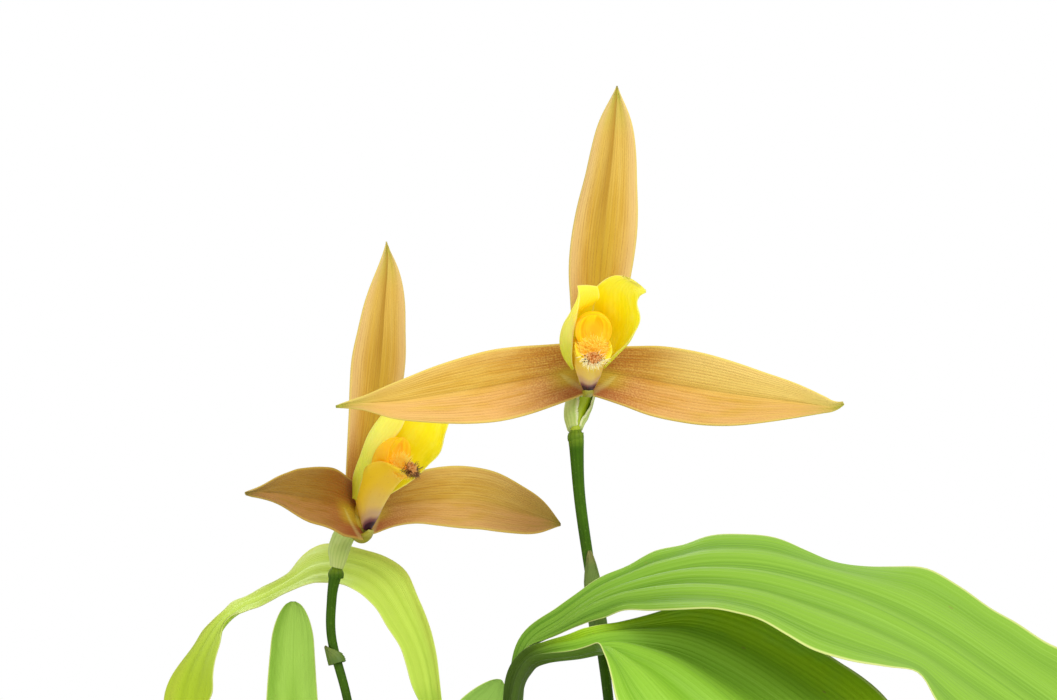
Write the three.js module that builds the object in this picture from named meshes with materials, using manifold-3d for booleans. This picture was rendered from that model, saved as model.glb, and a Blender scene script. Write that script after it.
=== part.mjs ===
// A potted Lycaste lasioglossa: two flowers on their scapes, five leaves and the pseudobulbs that they
// grow from, standing in bark in a clay pot.  Millimetres, +Z up.  The origin is the middle of the pot's
// foot.  The flowers look toward -Y, the first straight along it and the second turned to its right.

import * as THREE from 'three';
import { mergeVertices } from 'three/addons/utils/BufferGeometryUtils.js';
import Module from 'manifold-3d';

const wasm = await Module();
wasm.setup();

// Driving dimensions
const CLEARANCE = 0.3;
const BLADE_THICKNESS = 0.8;
const POT_HEIGHT = 105;
const POT_FOOT_RADIUS = 45;
const POT_RIM_RADIUS = 65.5;
const POT_RIM_DEPTH = 22;
const POT_RIM_OVERHANG = 4.5;
const POT_EDGE = 1.5;
const POT_WALL = 6;
const POT_FLOOR = 8;
const DRAIN_COUNT = 3;
const DRAIN_RADIUS = 6;
const DRAIN_CIRCLE = 24;
const MIX_LEVEL = 95;
const ROOTING_DEPTH = 8;
const CHIP_COUNT = 24;
const RECEPTACLE_RADIUS = 3.2;
const RECEPTACLE_DEPTH = 4.2;
const RECEPTACLE_BACK = 1.7;

// Width of a sepal along its length, as parts of its greatest half width
const LATERAL_OUTLINE = [0.76, 0.86, 0.94, 0.99, 0.975, 0.88, 0.73, 0.55, 0.31, 0.03];
const BLUNT_OUTLINE = [0.76, 0.86, 0.94, 0.99, 1, 0.98, 0.9, 0.74, 0.47, 0.03];
const DORSAL_OUTLINE = [0.5, 0.64, 0.8, 0.92, 1, 0.97, 0.84, 0.68, 0.43, 0.03];

// Centres of the two flowers, and how far the second looks up and to its right (degrees)
const FRONT_CENTRE = [25.9, 0, 271.8];
const TURNED_CENTRE = [-30.2, 25, 236.8];
const FLOWER_TILT = 18;
const FLOWER_TURN = 52;

const OUTWARD = [0, -1, 0];
const RADIANS = Math.PI / 180;

// Materials
function finish(color, roughness) {
  return new THREE.MeshStandardMaterial({ color, roughness, metalness: 0 });
}

const SEPAL_FINISH = finish('#d9a94f', 0.55);
const PETAL_FINISH = finish('#f6d81c', 0.5);
const LIP_FINISH = finish('#f2c64a', 0.6);
const COLUMN_FINISH = finish('#f5a81c', 0.5);
const SCAPE_FINISH = finish('#3f6a1c', 0.5);
const BRACT_FINISH = finish('#c9cf8a', 0.65);
const LEAF_FINISH = finish('#6fae2e', 0.45);
const YOUNG_LEAF_FINISH = finish('#a5cf4a', 0.45);
const BULB_FINISH = finish('#7d9a45', 0.5);
const CLAY_FINISH = finish('#b5623c', 0.9);
const BARK_FINISH = finish('#5d3d28', 0.95);

// Smooth value at t (0 to 1) through evenly spaced values, each a number or a list of numbers
function along(values, t) {
  if (values.length === 1) return values[0];
  const last = values.length - 1;
  const index = Math.min(Math.floor(t * last), last - 1);
  const u = t * last - index;
  const blend = (a, b, c, d) => (
    0.5 * (2 * b + (c - a) * u + (2 * a - 5 * b + 4 * c - d) * u * u + (3 * b - a - 3 * c + d) * u * u * u)
  );
  const mirrored = (end, inner) => (
    Array.isArray(end) ? end.map((value, axis) => 2 * value - inner[axis]) : 2 * end - inner
  );
  const b = values[index];
  const c = values[index + 1];
  const a = index > 0 ? values[index - 1] : mirrored(b, c);
  const d = index + 2 <= last ? values[index + 2] : mirrored(c, b);
  return Array.isArray(b) ? b.map((_, axis) => blend(a[axis], b[axis], c[axis], d[axis])) : blend(a, b, c, d);
}

// Unit direction of a middle line at t
function heading(middle, t) {
  const step = 1e-3;
  const from = new THREE.Vector3(...along(middle, Math.max(t - step, 0)));
  const to = new THREE.Vector3(...along(middle, Math.min(t + step, 1)));
  return to.sub(from).normalize();
}

// Position, direction, upward and sideways vectors at t of a middle line whose surface looks along `face`
function frameAt(middle, face, t) {
  const centre = new THREE.Vector3(...along(middle, t));
  const ahead = heading(middle, t);
  const up = new THREE.Vector3(...along(face, t));
  up.addScaledVector(ahead, -up.dot(ahead)).normalize();
  const side = new THREE.Vector3().crossVectors(ahead, up);
  return { centre, ahead, up, side };
}

function geometryFrom(points, triangles) {
  const geometry = new THREE.BufferGeometry();
  geometry.setAttribute('position', new THREE.Float32BufferAttribute(points.flatMap((p) => p.toArray()), 3));
  geometry.setIndex(triangles);
  return geometry;
}

// Mid surface of a leaf, sepal or petal.  Along the middle line, `half` is the distance to each edge
// measured on the surface, `cup` how far the edges turn up (degrees), `fold` the slope of the two halves
// (degrees), `roll` the turn about the middle line (degrees) and `relief` any height added at (t, v).
function bladeSurface({ middle, face, half, cup = [0], fold = [0], roll = [0], relief, rows, columns }) {
  const surface = [];
  for (let i = 0; i <= rows; i += 1) {
    const t = i / rows;
    const { centre, ahead, up, side } = frameAt(middle, face, t);
    const turn = along(roll, t) * RADIANS;
    up.applyAxisAngle(ahead, turn);
    side.applyAxisAngle(ahead, turn);
    const reach = Math.max(along(half, t), BLADE_THICKNESS / 2);
    const bend = along(cup, t) * RADIANS;
    const slope = Math.tan(along(fold, t) * RADIANS);
    const row = [];
    for (let j = 0; j <= columns; j += 1) {
      const v = (2 * j) / columns - 1;
      const curved = Math.abs(bend) > 0.01;
      const across = curved ? (reach * Math.sin(bend * v)) / bend : reach * v;
      const rise = curved ? (reach * (1 - Math.cos(bend * v))) / bend : 0;
      const extra = slope * reach * Math.abs(v) + (relief ? relief(t, v) : 0);
      row.push(centre.clone().addScaledVector(side, across).addScaledVector(up, rise + extra));
    }
    surface.push(row);
  }
  return surface;
}

// Unit normal of a grid of points at row i and column j
function gridNormal(surface, i, j) {
  const rows = surface.length - 1;
  const columns = surface[0].length - 1;
  const lengthwise = surface[Math.min(i + 1, rows)][j].clone().sub(surface[Math.max(i - 1, 0)][j]);
  const crosswise = surface[i][Math.min(j + 1, columns)].clone().sub(surface[i][Math.max(j - 1, 0)]);
  return crosswise.cross(lengthwise).normalize();
}

// Closed blade of even thickness on both sides of its mid surface
function blade(shape) {
  const surface = bladeSurface(shape);
  const thickness = shape.thickness ?? BLADE_THICKNESS;
  const rows = surface.length - 1;
  const columns = surface[0].length - 1;
  const points = [];
  for (const offset of [thickness / 2, -thickness / 2]) {
    for (let i = 0; i <= rows; i += 1) {
      for (let j = 0; j <= columns; j += 1) {
        points.push(surface[i][j].clone().addScaledVector(gridNormal(surface, i, j), offset));
      }
    }
  }
  const upper = (i, j) => i * (columns + 1) + j;
  const lower = (i, j) => upper(i, j) + (rows + 1) * (columns + 1);
  const triangles = [];
  for (let i = 0; i < rows; i += 1) {
    for (let j = 0; j < columns; j += 1) {
      triangles.push(upper(i, j), upper(i, j + 1), upper(i + 1, j + 1));
      triangles.push(upper(i, j), upper(i + 1, j + 1), upper(i + 1, j));
      triangles.push(lower(i, j), lower(i + 1, j + 1), lower(i, j + 1));
      triangles.push(lower(i, j), lower(i + 1, j), lower(i + 1, j + 1));
    }
  }
  const wall = (a, b, c, d) => triangles.push(a, b, c, a, c, d);
  for (let i = 0; i < rows; i += 1) {
    wall(upper(i, 0), upper(i + 1, 0), lower(i + 1, 0), lower(i, 0));
    wall(upper(i, columns), lower(i, columns), lower(i + 1, columns), upper(i + 1, columns));
  }
  for (let j = 0; j < columns; j += 1) {
    wall(upper(0, j), lower(0, j), lower(0, j + 1), upper(0, j + 1));
    wall(upper(rows, j), upper(rows, j + 1), lower(rows, j + 1), lower(rows, j));
  }
  return geometryFrom(points, triangles);
}

// Closed round body along a middle line: `radius` along it, `flat` its height as a part of its width,
// `face` the direction of the height, `grown` an even addition and `relief` a factor at (t, angle)
function shaft({ middle, radius, flat = [1], face = OUTWARD, grown = 0, relief, rows, sides }) {
  const points = [];
  for (let i = 0; i <= rows; i += 1) {
    const t = i / rows;
    const { centre, up, side } = frameAt(middle, [face], t);
    const reach = along(radius, t);
    for (let j = 0; j < sides; j += 1) {
      const angle = (2 * Math.PI * j) / sides;
      const width = reach * (relief ? relief(t, angle) : 1);
      const across = Math.cos(angle) * (width + grown);
      const rise = Math.sin(angle) * (width * along(flat, t) + grown);
      points.push(centre.clone().addScaledVector(side, across).addScaledVector(up, rise));
    }
  }
  const bottom = points.length;
  points.push(new THREE.Vector3(...along(middle, 0)), new THREE.Vector3(...along(middle, 1)));
  const top = bottom + 1;
  const triangles = [];
  for (let j = 0; j < sides; j += 1) {
    const next = (j + 1) % sides;
    for (let i = 0; i < rows; i += 1) {
      const a = i * sides + j;
      const b = i * sides + next;
      triangles.push(a, a + sides, b + sides, a, b + sides, b);
    }
    triangles.push(bottom, j, next);
    triangles.push(top, rows * sides + next, rows * sides + j);
  }
  return geometryFrom(points, triangles);
}

// Solids for boolean work
function solidOf(geometry) {
  const bare = geometry.clone();
  bare.deleteAttribute('normal');
  bare.deleteAttribute('uv');
  const merged = mergeVertices(bare, 1e-4);
  return new wasm.Manifold(new wasm.Mesh({
    numProp: 3,
    vertProperties: new Float32Array(merged.attributes.position.array),
    triVerts: new Uint32Array(merged.index.array),
  }));
}

function geometryOf(solid) {
  const mesh = solid.getMesh();
  const geometry = new THREE.BufferGeometry();
  geometry.setAttribute('position', new THREE.BufferAttribute(mesh.vertProperties, 3));
  geometry.setIndex(new THREE.BufferAttribute(mesh.triVerts, 1));
  return geometry;
}

// Seeded random numbers from 0 to 1
function randomNumbers(seed) {
  let state = seed;
  return () => {
    state = (state * 16807) % 2147483647;
    return state / 2147483647;
  };
}

// Closed body of revolution about +Z from a profile of [radius, height] points
function turned(profile, segments) {
  const lathe = new THREE.LatheGeometry(profile.map(([r, z]) => new THREE.Vector2(r, z)), segments);
  return lathe.rotateX(Math.PI / 2);
}

// Clay pot: a tapered wall under a straight rim, with three drain holes round a solid middle
function potWallRadius(height) {
  const shoulder = POT_HEIGHT - POT_RIM_DEPTH;
  const underRim = POT_RIM_RADIUS - POT_RIM_OVERHANG;
  return POT_FOOT_RADIUS + ((underRim - POT_FOOT_RADIUS) * height) / shoulder;
}

function potGeometry() {
  const shoulder = POT_HEIGHT - POT_RIM_DEPTH;
  const profile = [
    [0, 0],
    [POT_FOOT_RADIUS - POT_EDGE, 0],
    [potWallRadius(POT_EDGE), POT_EDGE],
    [potWallRadius(shoulder - POT_EDGE), shoulder - POT_EDGE],
    [POT_RIM_RADIUS - POT_EDGE / 2, shoulder],
    [POT_RIM_RADIUS, shoulder + POT_EDGE],
    [POT_RIM_RADIUS, POT_HEIGHT - POT_EDGE],
    [POT_RIM_RADIUS - POT_EDGE, POT_HEIGHT],
    [POT_RIM_RADIUS - POT_WALL, POT_HEIGHT - POT_EDGE / 3],
    [potWallRadius(shoulder) - POT_WALL + POT_EDGE, shoulder],
    [potWallRadius(POT_FLOOR) - POT_WALL, POT_FLOOR],
    [0, POT_FLOOR],
  ];
  let pot = solidOf(turned(profile, 44));
  for (let i = 0; i < DRAIN_COUNT; i += 1) {
    const angle = (i * 2 * Math.PI) / DRAIN_COUNT + Math.PI / 2;
    const drain = new THREE.CylinderGeometry(DRAIN_RADIUS, DRAIN_RADIUS, 3 * POT_FLOOR, 14).rotateX(Math.PI / 2);
    drain.translate(DRAIN_CIRCLE * Math.cos(angle), DRAIN_CIRCLE * Math.sin(angle), 0);
    pot = pot.subtract(solidOf(drain));
  }
  return geometryOf(pot);
}

// Bark mix: fills the pot, with chips standing out of its top and a hole for each rooted piece
function mixGeometry(rootedPieces) {
  const shoulder = POT_HEIGHT - POT_RIM_DEPTH;
  const inside = (height) => potWallRadius(height) - POT_WALL - CLEARANCE;
  const topRadius = POT_RIM_RADIUS - POT_WALL - 4 * CLEARANCE;
  const profile = [
    [0, POT_FLOOR + CLEARANCE],
    [inside(POT_FLOOR) - CLEARANCE, POT_FLOOR + CLEARANCE],
    [inside(shoulder) + POT_EDGE - CLEARANCE, shoulder],
    [topRadius - 0.6, MIX_LEVEL - 1],
    [topRadius - 4, MIX_LEVEL],
    [0, MIX_LEVEL + 1],
  ];
  let mix = solidOf(turned(profile, 36));
  const random = randomNumbers(7);
  const goldenAngle = Math.PI * (3 - Math.sqrt(5));
  for (let i = 0; i < CHIP_COUNT; i += 1) {
    const radius = (topRadius - 9) * Math.sqrt((i + 0.5) / CHIP_COUNT);
    const chip = new THREE.BoxGeometry(9 + 6 * random(), 6 + 4 * random(), 4 + 2 * random());
    chip.rotateX(0.7 * (random() - 0.5)).rotateY(0.7 * (random() - 0.5)).rotateZ(2 * Math.PI * random());
    chip.translate(
      radius * Math.cos(i * goldenAngle),
      radius * Math.sin(i * goldenAngle),
      MIX_LEVEL + 0.6 + 1.2 * random(),
    );
    mix = mix.add(solidOf(chip));
  }
  for (const piece of rootedPieces) mix = mix.subtract(solidOf(shaft(holeFor(piece))));
  return geometryOf(mix);
}

// The hole that a rooted piece stands in: its own form, a little wider and deeper
function holeFor(piece) {
  const [x, y, z] = piece.middle[0];
  const middle = [[x, y, z - CLEARANCE], ...piece.middle.slice(1)];
  return { ...piece, middle, relief: undefined, grown: CLEARANCE + (piece.ridge ?? 0) };
}

// Pseudobulbs, each an upright ridged body with a flat top that the leaf stalks stand on
const BULB_RIDGES = 9;

function pseudobulb({ foot, top, width, topRadius }) {
  const between = (part) => foot.map((value, axis) => value + (top[axis] - value) * part);
  return {
    middle: [foot, between(0.33), between(0.67), top],
    radius: [0.55, 0.92, 1, 0.9, 0.7, 0.48].map((part) => part * width).concat(topRadius),
    relief: (t, angle) => 1 + 0.05 * Math.cos(BULB_RIDGES * angle) * Math.sin(Math.PI * t),
    ridge: 0.05 * width,
    face: OUTWARD,
    rows: 9,
    sides: 2 * BULB_RIDGES,
  };
}

const FRONT_BULB = pseudobulb({
  foot: [6, -16, MIX_LEVEL - ROOTING_DEPTH], top: [9, -18, 156], width: 19, topRadius: 7.5,
});
const REAR_BULB = pseudobulb({
  foot: [-4, 19, MIX_LEVEL - ROOTING_DEPTH], top: [-8.5, 22, 153], width: 15.5, topRadius: 7,
});
const BACK_BULB = pseudobulb({
  foot: [29, 27, MIX_LEVEL - ROOTING_DEPTH], top: [31, 31, 140], width: 15, topRadius: 2.5,
});
const NEW_SHOOT = {
  middle: [[-39, 22, MIX_LEVEL - ROOTING_DEPTH], [-42, 24, 108], [-45, 27, 128]],
  radius: [5.5, 7.2, 6.4, 5, 3.6],
  face: OUTWARD,
  rows: 8,
  sides: 12,
};

// Leaves, each from its stalk to its tip
const LEAF_PLEATS = 4;

// Lengthwise pleats that fade toward the stalk, the tip and the edges
function pleats(depth) {
  return (t, v) => depth * Math.sin(Math.PI * t) * Math.cos(LEAF_PLEATS * Math.PI * v) * (1 - v * v);
}

// Rise and fall of the two edges, out of step with each other
function ruffles(height, count) {
  return (t, v) => height * v * v * Math.sin(Math.PI * t) * Math.sin(2 * Math.PI * count * t + (v > 0 ? 0 : 2));
}

const ARCHING_LEAF = {
  middle: [
    [9, -14, 156.4], [9.2, -14.5, 177], [9.6, -15, 197], [11.6, -16, 209], [20, -19, 215.5], [29, -22, 221.5],
    [40, -25, 225.5], [51, -28, 227.5], [64, -31, 227], [77, -34, 224], [90, -37, 219.5], [103, -39, 213],
    [115, -41, 205], [127, -43, 196.5], [139, -44, 187.5], [151, -45, 178],
  ],
  face: [
    [-1, -0.3, 0.1], [-0.65, -0.25, 0.7], [-0.3, -0.25, 0.92], [0.18, -0.32, 0.93], [0.45, -0.4, 0.8],
    [0.5, -0.6, 0.6],
  ],
  half: [3.5, 3.5, 3.5, 3.6, 4.6, 7.5, 13, 19, 24, 28, 29.5, 29.5, 28, 24, 16, 1],
  cup: [85, 85, 80, 45, 8, -4, -6, -8, -10, -10],
  relief: (t, v) => pleats(0.7)(t, v) + ruffles(1.4, 4)(t, v),
  rows: 26,
  columns: 8,
};

const FRONT_LEAF = {
  middle: [
    [9, -21, 156.4], [9, -22.5, 178], [9.4, -24, 198.5], [12, -25.5, 205.5], [16, -27, 208], [23.5, -30, 209.5],
    [30, -32, 211], [36, -35, 210.5], [44, -39.5, 208], [53, -45, 202.5], [62, -51, 195.5], [73, -57, 187],
    [84, -62, 177], [94, -66, 165.5], [103, -69, 152],
  ],
  face: [
    [-1, -0.3, 0.1], [-1, -0.3, 0.15], [-0.5, -0.3, 0.8], [-0.05, -0.35, 0.93],
    [0.15, -0.42, 0.9], [0.2, -0.62, 0.76], [0.3, -0.73, 0.61], [0.7, -0.45, 0.5],
  ],
  half: [4.6, 4.6, 4.6, 4.6, 4.8, 6, 8.5, 15, 23, 28, 30, 28, 22, 12, 1],
  cup: [90, 90, 85, 60, 5, -6, -8, -10],
  relief: pleats(0.8),
  rows: 26,
  columns: 8,
};

const LEFT_LEAF = {
  middle: [
    [-9.5, 24, 153.4], [-10.8, 29, 173], [-13.4, 34, 192], [-16, 36.5, 203], [-20.6, 38.5, 212.5], [-26, 40, 220],
    [-33.5, 41.5, 223.5], [-42, 42, 223.5], [-49, 42, 219.7], [-55.5, 42, 216.3], [-61.2, 41, 213.8],
    [-65.8, 40, 210], [-69.5, 39, 204.5], [-73, 38, 197], [-75, 37.3, 189], [-75.6, 37, 180], [-75.8, 37, 171.6],
  ],
  face: [
    [0.7, -0.7, 0.1], [0.55, -0.78, 0.27], [0.62, -0.6, 0.5], [0.15, -0.45, 0.88], [-0.4, -0.3, 0.85],
    [-0.47, -0.27, 0.84], [-0.7, -0.5, 0.5], [-0.5, -0.8, 0.2], [-0.7, -0.7, 0],
  ],
  half: [3, 3, 3.4, 5, 8, 10, 10, 10, 7.5, 6.3, 6.3, 6.3, 6.5, 7, 6, 4, 0.8],
  cup: [80, 70, 40, 20, 10, 10, 15, 10, 0],
  relief: ruffles(0.9, 3),
  rows: 26,
  columns: 6,
};

const UPRIGHT_LEAF = {
  middle: [[-45, 27, 128.6], [-45.6, 27.6, 146], [-46.8, 28.8, 170], [-47.3, 30, 194], [-47, 31, 216]],
  face: [[0.15, -1, 0.1]],
  half: [2.8, 5.5, 8, 7.4, 5.6, 1.6],
  cup: [80, 50, 30, 25],
  rows: 12,
  columns: 6,
};

const SHORT_LEAF = {
  middle: [[-8.5, 18.4, 153.8], [-8.2, 17.6, 164], [-6.5, 16, 175], [-3.2, 14.4, 186], [0.6, 13, 197]],
  face: [[0.1, -1, 0.3]],
  half: [2.8, 5, 7.5, 6.2, 1.5],
  cup: [80, 50, 25, 20],
  rows: 10,
  columns: 6,
};

// Scapes, from the bark up to the collar under the ovary
function scape(middle) {
  return {
    middle,
    radius: [1.8, 1.5, 1.3, 1.1, 1.15, 1.25, 1.3, 1.4, 1.5, 2],
    face: OUTWARD,
    rows: 20,
    sides: 8,
  };
}

// Mesh of one piece
function piece(name, geometry, material) {
  const mesh = new THREE.Mesh(geometry, material);
  mesh.name = name;
  return mesh;
}

// A bract wrapped round a stem: its base clasps the stem over `wrap` degrees on each side, and its
// point stands off by `flare`.  `back` is the side of the stem that its middle line runs along.
function clasp({ stem, from, to, back, wrap, bore, flare }) {
  const gap = CLEARANCE + BLADE_THICKNESS / 2;
  const steps = 5;
  const side = new THREE.Vector3(...back).normalize();
  const middle = [];
  const half = [];
  for (let i = 0; i <= steps; i += 1) {
    const t = i / steps;
    const distance = along(bore, t) + gap + along(flare, t);
    const centre = new THREE.Vector3(...along(stem, from + (to - from) * t));
    const ahead = heading(stem, from + (to - from) * t);
    const outward = side.clone().addScaledVector(ahead, -side.dot(ahead)).normalize();
    middle.push(centre.addScaledVector(outward, distance).toArray());
    half.push((along(bore, t) + gap) * along(wrap, t) * RADIANS);
  }
  return { middle, face: [side.negate().toArray()], half, cup: wrap, rows: 6, columns: 8 };
}

// Sepal: its middle line leaves the flower's centre along `course` (degrees round the flower, from its
// right-hand side) and comes forward by `lean` (degrees)
function sepal({ length, start, course, lean, outline, width, roll = [0], cup, fold }) {
  const steps = 9;
  const middle = [start];
  const place = new THREE.Vector3(...start);
  for (let i = 0; i < steps; i += 1) {
    const t = (i + 0.5) / steps;
    const round = along(course, t) * RADIANS;
    const forward = along(lean, t) * RADIANS;
    place.x += (Math.cos(round) * Math.cos(forward) * length) / steps;
    place.y -= (Math.sin(forward) * length) / steps;
    place.z += (Math.sin(round) * Math.cos(forward) * length) / steps;
    middle.push(place.toArray());
  }
  return {
    middle, face: [OUTWARD], half: outline.map((part) => part * width), roll, cup, fold, rows: 14, columns: 6,
  };
}

// Petals, in the flower's own frame: from the side of the column up and forward to the turned-out tip
const RIGHT_PETAL = {
  middle: [
    [4.2, -3.5, 2.2], [6.3, -7, 6.8], [8.1, -12, 12], [7.8, -17, 17], [8, -19.6, 20.6], [11.2, -20.4, 21.6],
  ],
  face: [[-0.8, -0.3, -0.4], [-0.9, -0.2, -0.3], [-0.8, -0.3, -0.4], [-0.4, -0.5, -0.7], [-0.1, -0.9, -0.3]],
  half: [2.2, 5, 7.6, 7.4, 4.8, 0.8],
  cup: [55, 65, 72, 62, 20, -20],
  rows: 12,
  columns: 6,
};

const LEFT_PETAL = {
  middle: [
    [-4.2, -3.5, 2.2], [-5.4, -6.6, 6.4], [-5.7, -12, 11.8], [-4.1, -17, 16.8], [-1.9, -19, 20.2],
    [-1.8, -19.8, 22.4],
  ],
  face: [[0.8, -0.3, -0.4], [0.9, -0.2, -0.3], [0.85, -0.3, -0.4], [0.5, -0.5, -0.6], [0.1, -0.9, -0.3]],
  half: [2.2, 4.8, 6.8, 6, 3.8, 0.8],
  cup: [55, 60, 62, 50, 15, -20],
  rows: 12,
  columns: 6,
};

// Lip: a trough from the column's foot, with raised side lobes and a down-turned middle lobe
const LIP = {
  middle: [
    [0, -4.4, -2.4], [0, -7, -1], [0, -10.4, 1], [0, -14, 3.6], [0, -17.2, 5.6], [0, -19.6, 6], [0, -21.2, 4.8],
  ],
  face: [[0, 0.5, 0.85], [0, 0.45, 0.9], [0, 0.3, 0.95], [0, -0.6, 0.8]],
  half: [1.6, 4.6, 6.6, 6.4, 3.4, 2.8, 0.8],
  cup: [70, 100, 105, 90, 50, -30, -40],
  rows: 14,
  columns: 8,
  thickness: 0.9,
};

// Column: the receptacle that everything is joined to, the arched column and its foot, as one body
function columnGeometry() {
  const receptacle = new THREE.CylinderGeometry(RECEPTACLE_RADIUS - 0.4, RECEPTACLE_RADIUS, RECEPTACLE_DEPTH, 12);
  receptacle.translate(0, RECEPTACLE_BACK - RECEPTACLE_DEPTH / 2, 0);
  const arch = shaft({
    middle: [[0, 0, 0.6], [0, -4.5, 4.6], [0, -9, 9.4], [0, -13.4, 12.2], [0, -16.6, 12], [0, -18, 10.4]],
    radius: [2.1, 2.2, 2.6, 3.1, 3, 1.4],
    flat: [0.9, 0.8, 0.75, 0.75, 0.8],
    face: [0, -0.6, 0.8],
    rows: 8,
    sides: 10,
  });
  const foot = shaft({
    middle: [[0, -0.9, -1], [0, -1.6, -3], [0, -2.2, -4.8]],
    radius: [1.9, 1.6, 1],
    face: OUTWARD,
    rows: 3,
    sides: 8,
  });
  return geometryOf(solidOf(receptacle).add(solidOf(arch)).add(solidOf(foot)));
}

// One flower, looking along its own -Y: sepals, petals, lip and column
function flower(side, sepals) {
  const group = new THREE.Group();
  group.add(piece(`${side}_column`, columnGeometry(), COLUMN_FINISH));
  group.add(piece(`${side}_lip`, blade(LIP), LIP_FINISH));
  group.add(piece(`${side}_left_petal`, blade(LEFT_PETAL), PETAL_FINISH));
  group.add(piece(`${side}_right_petal`, blade(RIGHT_PETAL), PETAL_FINISH));
  for (const [name, form] of Object.entries(sepals)) {
    group.add(piece(`${side}_${name}_sepal`, blade(sepal(form)), SEPAL_FINISH));
  }
  return group;
}

const SEPAL_SEAT = RECEPTACLE_RADIUS + CLEARANCE;
const DORSAL_START = [0.7, 1.3, SEPAL_SEAT];
const RIGHT_START = [SEPAL_SEAT, -0.6, 1.6];
const LEFT_START = [-SEPAL_SEAT, -0.6, 2.2];

const FRONT_SEPALS = {
  dorsal: {
    length: 68, start: DORSAL_START, course: [85, 85.5, 84.5, 87.5], lean: [12, 15, 15],
    outline: DORSAL_OUTLINE, width: 8.1, cup: [-10, 0, 0, 15], fold: [0, -8, -8, 5],
  },
  left: {
    length: 58, start: LEFT_START, course: [191, 191, 190, 188, 184], lean: [8, 14, 18],
    outline: LATERAL_OUTLINE, width: 8.3, cup: [10, 10, 10, 20], fold: [0, 8, 8, 12],
  },
  right: {
    length: 59, start: RIGHT_START, course: [-8.5, -10.5, -9.5, -7, -5], lean: [8, 14, 18],
    outline: LATERAL_OUTLINE, width: 8.5, cup: [10, 10, 10, 20], fold: [0, 8, 8, 12],
  },
};

const TURNED_SEPALS = {
  dorsal: {
    length: 67, start: [2.1, 2, SEPAL_SEAT], course: [70, 80, 89, 91], lean: [12, 24, 22, 22],
    outline: DORSAL_OUTLINE, width: 6.7, roll: [-20], cup: [-10, 0, 0, 15], fold: [0, -8, -8, 5],
  },
  left: {
    length: 58, start: LEFT_START, course: [180, 173, 178, 186], lean: [10, 18, 22],
    outline: LATERAL_OUTLINE, width: 8, cup: [10, 10, 10, 20], fold: [0, 8, 8, 12],
  },
  right: {
    length: 60, start: RIGHT_START, course: [8, -4, -20, -38], lean: [10, 18, 20],
    outline: BLUNT_OUTLINE, width: 8.1, cup: [10, 10, 10, 20], fold: [0, 8, 8, 12],
  },
};

// Ovary between the scape's collar and the flower's back, and the bract that clasps it
function ovary(middle) {
  return { middle, radius: [1, 1.3, 1.8, 2.2], face: OUTWARD, rows: 6, sides: 10 };
}

const FRONT_SCAPE = [
  [29, -3, 87], [33.5, -3, 110], [34.5, -2, 140], [33, -1, 170], [30.6, 0, 197], [27, 1, 222],
  [24, 2, 243], [23, 3, 259],
];
const FRONT_OVARY = [[22.9, 3, 259.7], [23.4, 4.4, 264], [24.6, 5.4, 268.4], [25.5, 4, 271]];
const TURNED_SCAPE = [
  [-27, 14, 87], [-26, 16, 110], [-27, 19, 145], [-30, 22, 175], [-33.5, 24, 193], [-37.3, 26, 207],
  [-37.4, 27, 217], [-36.4, 28, 224],
];
const TURNED_OVARY = [[-36.3, 28, 224.7], [-35.9, 28.6, 228.5], [-34.6, 28.3, 232.6], [-32.5, 26.9, 235.4]];

// The bract that clasps an ovary from behind, open toward the viewer
function floralBract(ovaryMiddle) {
  return clasp({
    stem: ovaryMiddle, from: 0.02, to: 0.86, back: [0, 1, 0],
    wrap: [165, 165, 155, 140, 110], bore: [1.05, 1.35, 1.85, 2.2], flare: [0, 0, 0, 0.2],
  });
}

// A sheathing bract low on a scape, with its point to one side
function scapeBract(scapeMiddle, from, to, back) {
  return clasp({
    stem: scapeMiddle, from, to, back,
    wrap: [165, 165, 150, 110, 40], bore: [1.6, 1.5, 1.4, 1.3], flare: [0, 0, 0, 0.4],
  });
}

function stalk(side, scapeMiddle, ovaryMiddle) {
  const group = new THREE.Group();
  group.add(piece(`${side}_scape`, shaft(scape(scapeMiddle)), SCAPE_FINISH));
  group.add(piece(`${side}_ovary`, shaft(ovary(ovaryMiddle)), SCAPE_FINISH));
  group.add(piece(`${side}_floral_bract`, blade(floralBract(ovaryMiddle)), BRACT_FINISH));
  const upper = side === 'front'
    ? scapeBract(scapeMiddle, 0.62, 0.76, [1, -0.2, 0])
    : scapeBract(scapeMiddle, 0.6, 0.69, [-1, -0.2, 0]);
  group.add(piece(`${side}_upper_scape_bract`, blade(upper), BRACT_FINISH));
  const lower = scapeBract(scapeMiddle, 0.16, 0.36, side === 'front' ? [1, 0.2, 0] : [-1, 0.2, 0]);
  group.add(piece(`${side}_lower_scape_bract`, blade(lower), BRACT_FINISH));
  return group;
}

// The whole plant in its pot
const plant = new THREE.Group();
const rooted = [
  FRONT_BULB, REAR_BULB, BACK_BULB, NEW_SHOOT, scape(FRONT_SCAPE), scape(TURNED_SCAPE),
];
plant.add(piece('pot', potGeometry(), CLAY_FINISH));
plant.add(piece('bark_mix', mixGeometry(rooted), BARK_FINISH));
plant.add(piece('front_pseudobulb', shaft(FRONT_BULB), BULB_FINISH));
plant.add(piece('rear_pseudobulb', shaft(REAR_BULB), BULB_FINISH));
plant.add(piece('back_bulb', shaft(BACK_BULB), BULB_FINISH));
plant.add(piece('new_shoot', shaft(NEW_SHOOT), BULB_FINISH));
plant.add(piece('arching_leaf', blade(ARCHING_LEAF), LEAF_FINISH));
plant.add(piece('front_leaf', blade(FRONT_LEAF), LEAF_FINISH));
plant.add(piece('left_leaf', blade(LEFT_LEAF), YOUNG_LEAF_FINISH));
plant.add(piece('upright_leaf', blade(UPRIGHT_LEAF), YOUNG_LEAF_FINISH));
plant.add(piece('short_leaf', blade(SHORT_LEAF), YOUNG_LEAF_FINISH));
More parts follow.
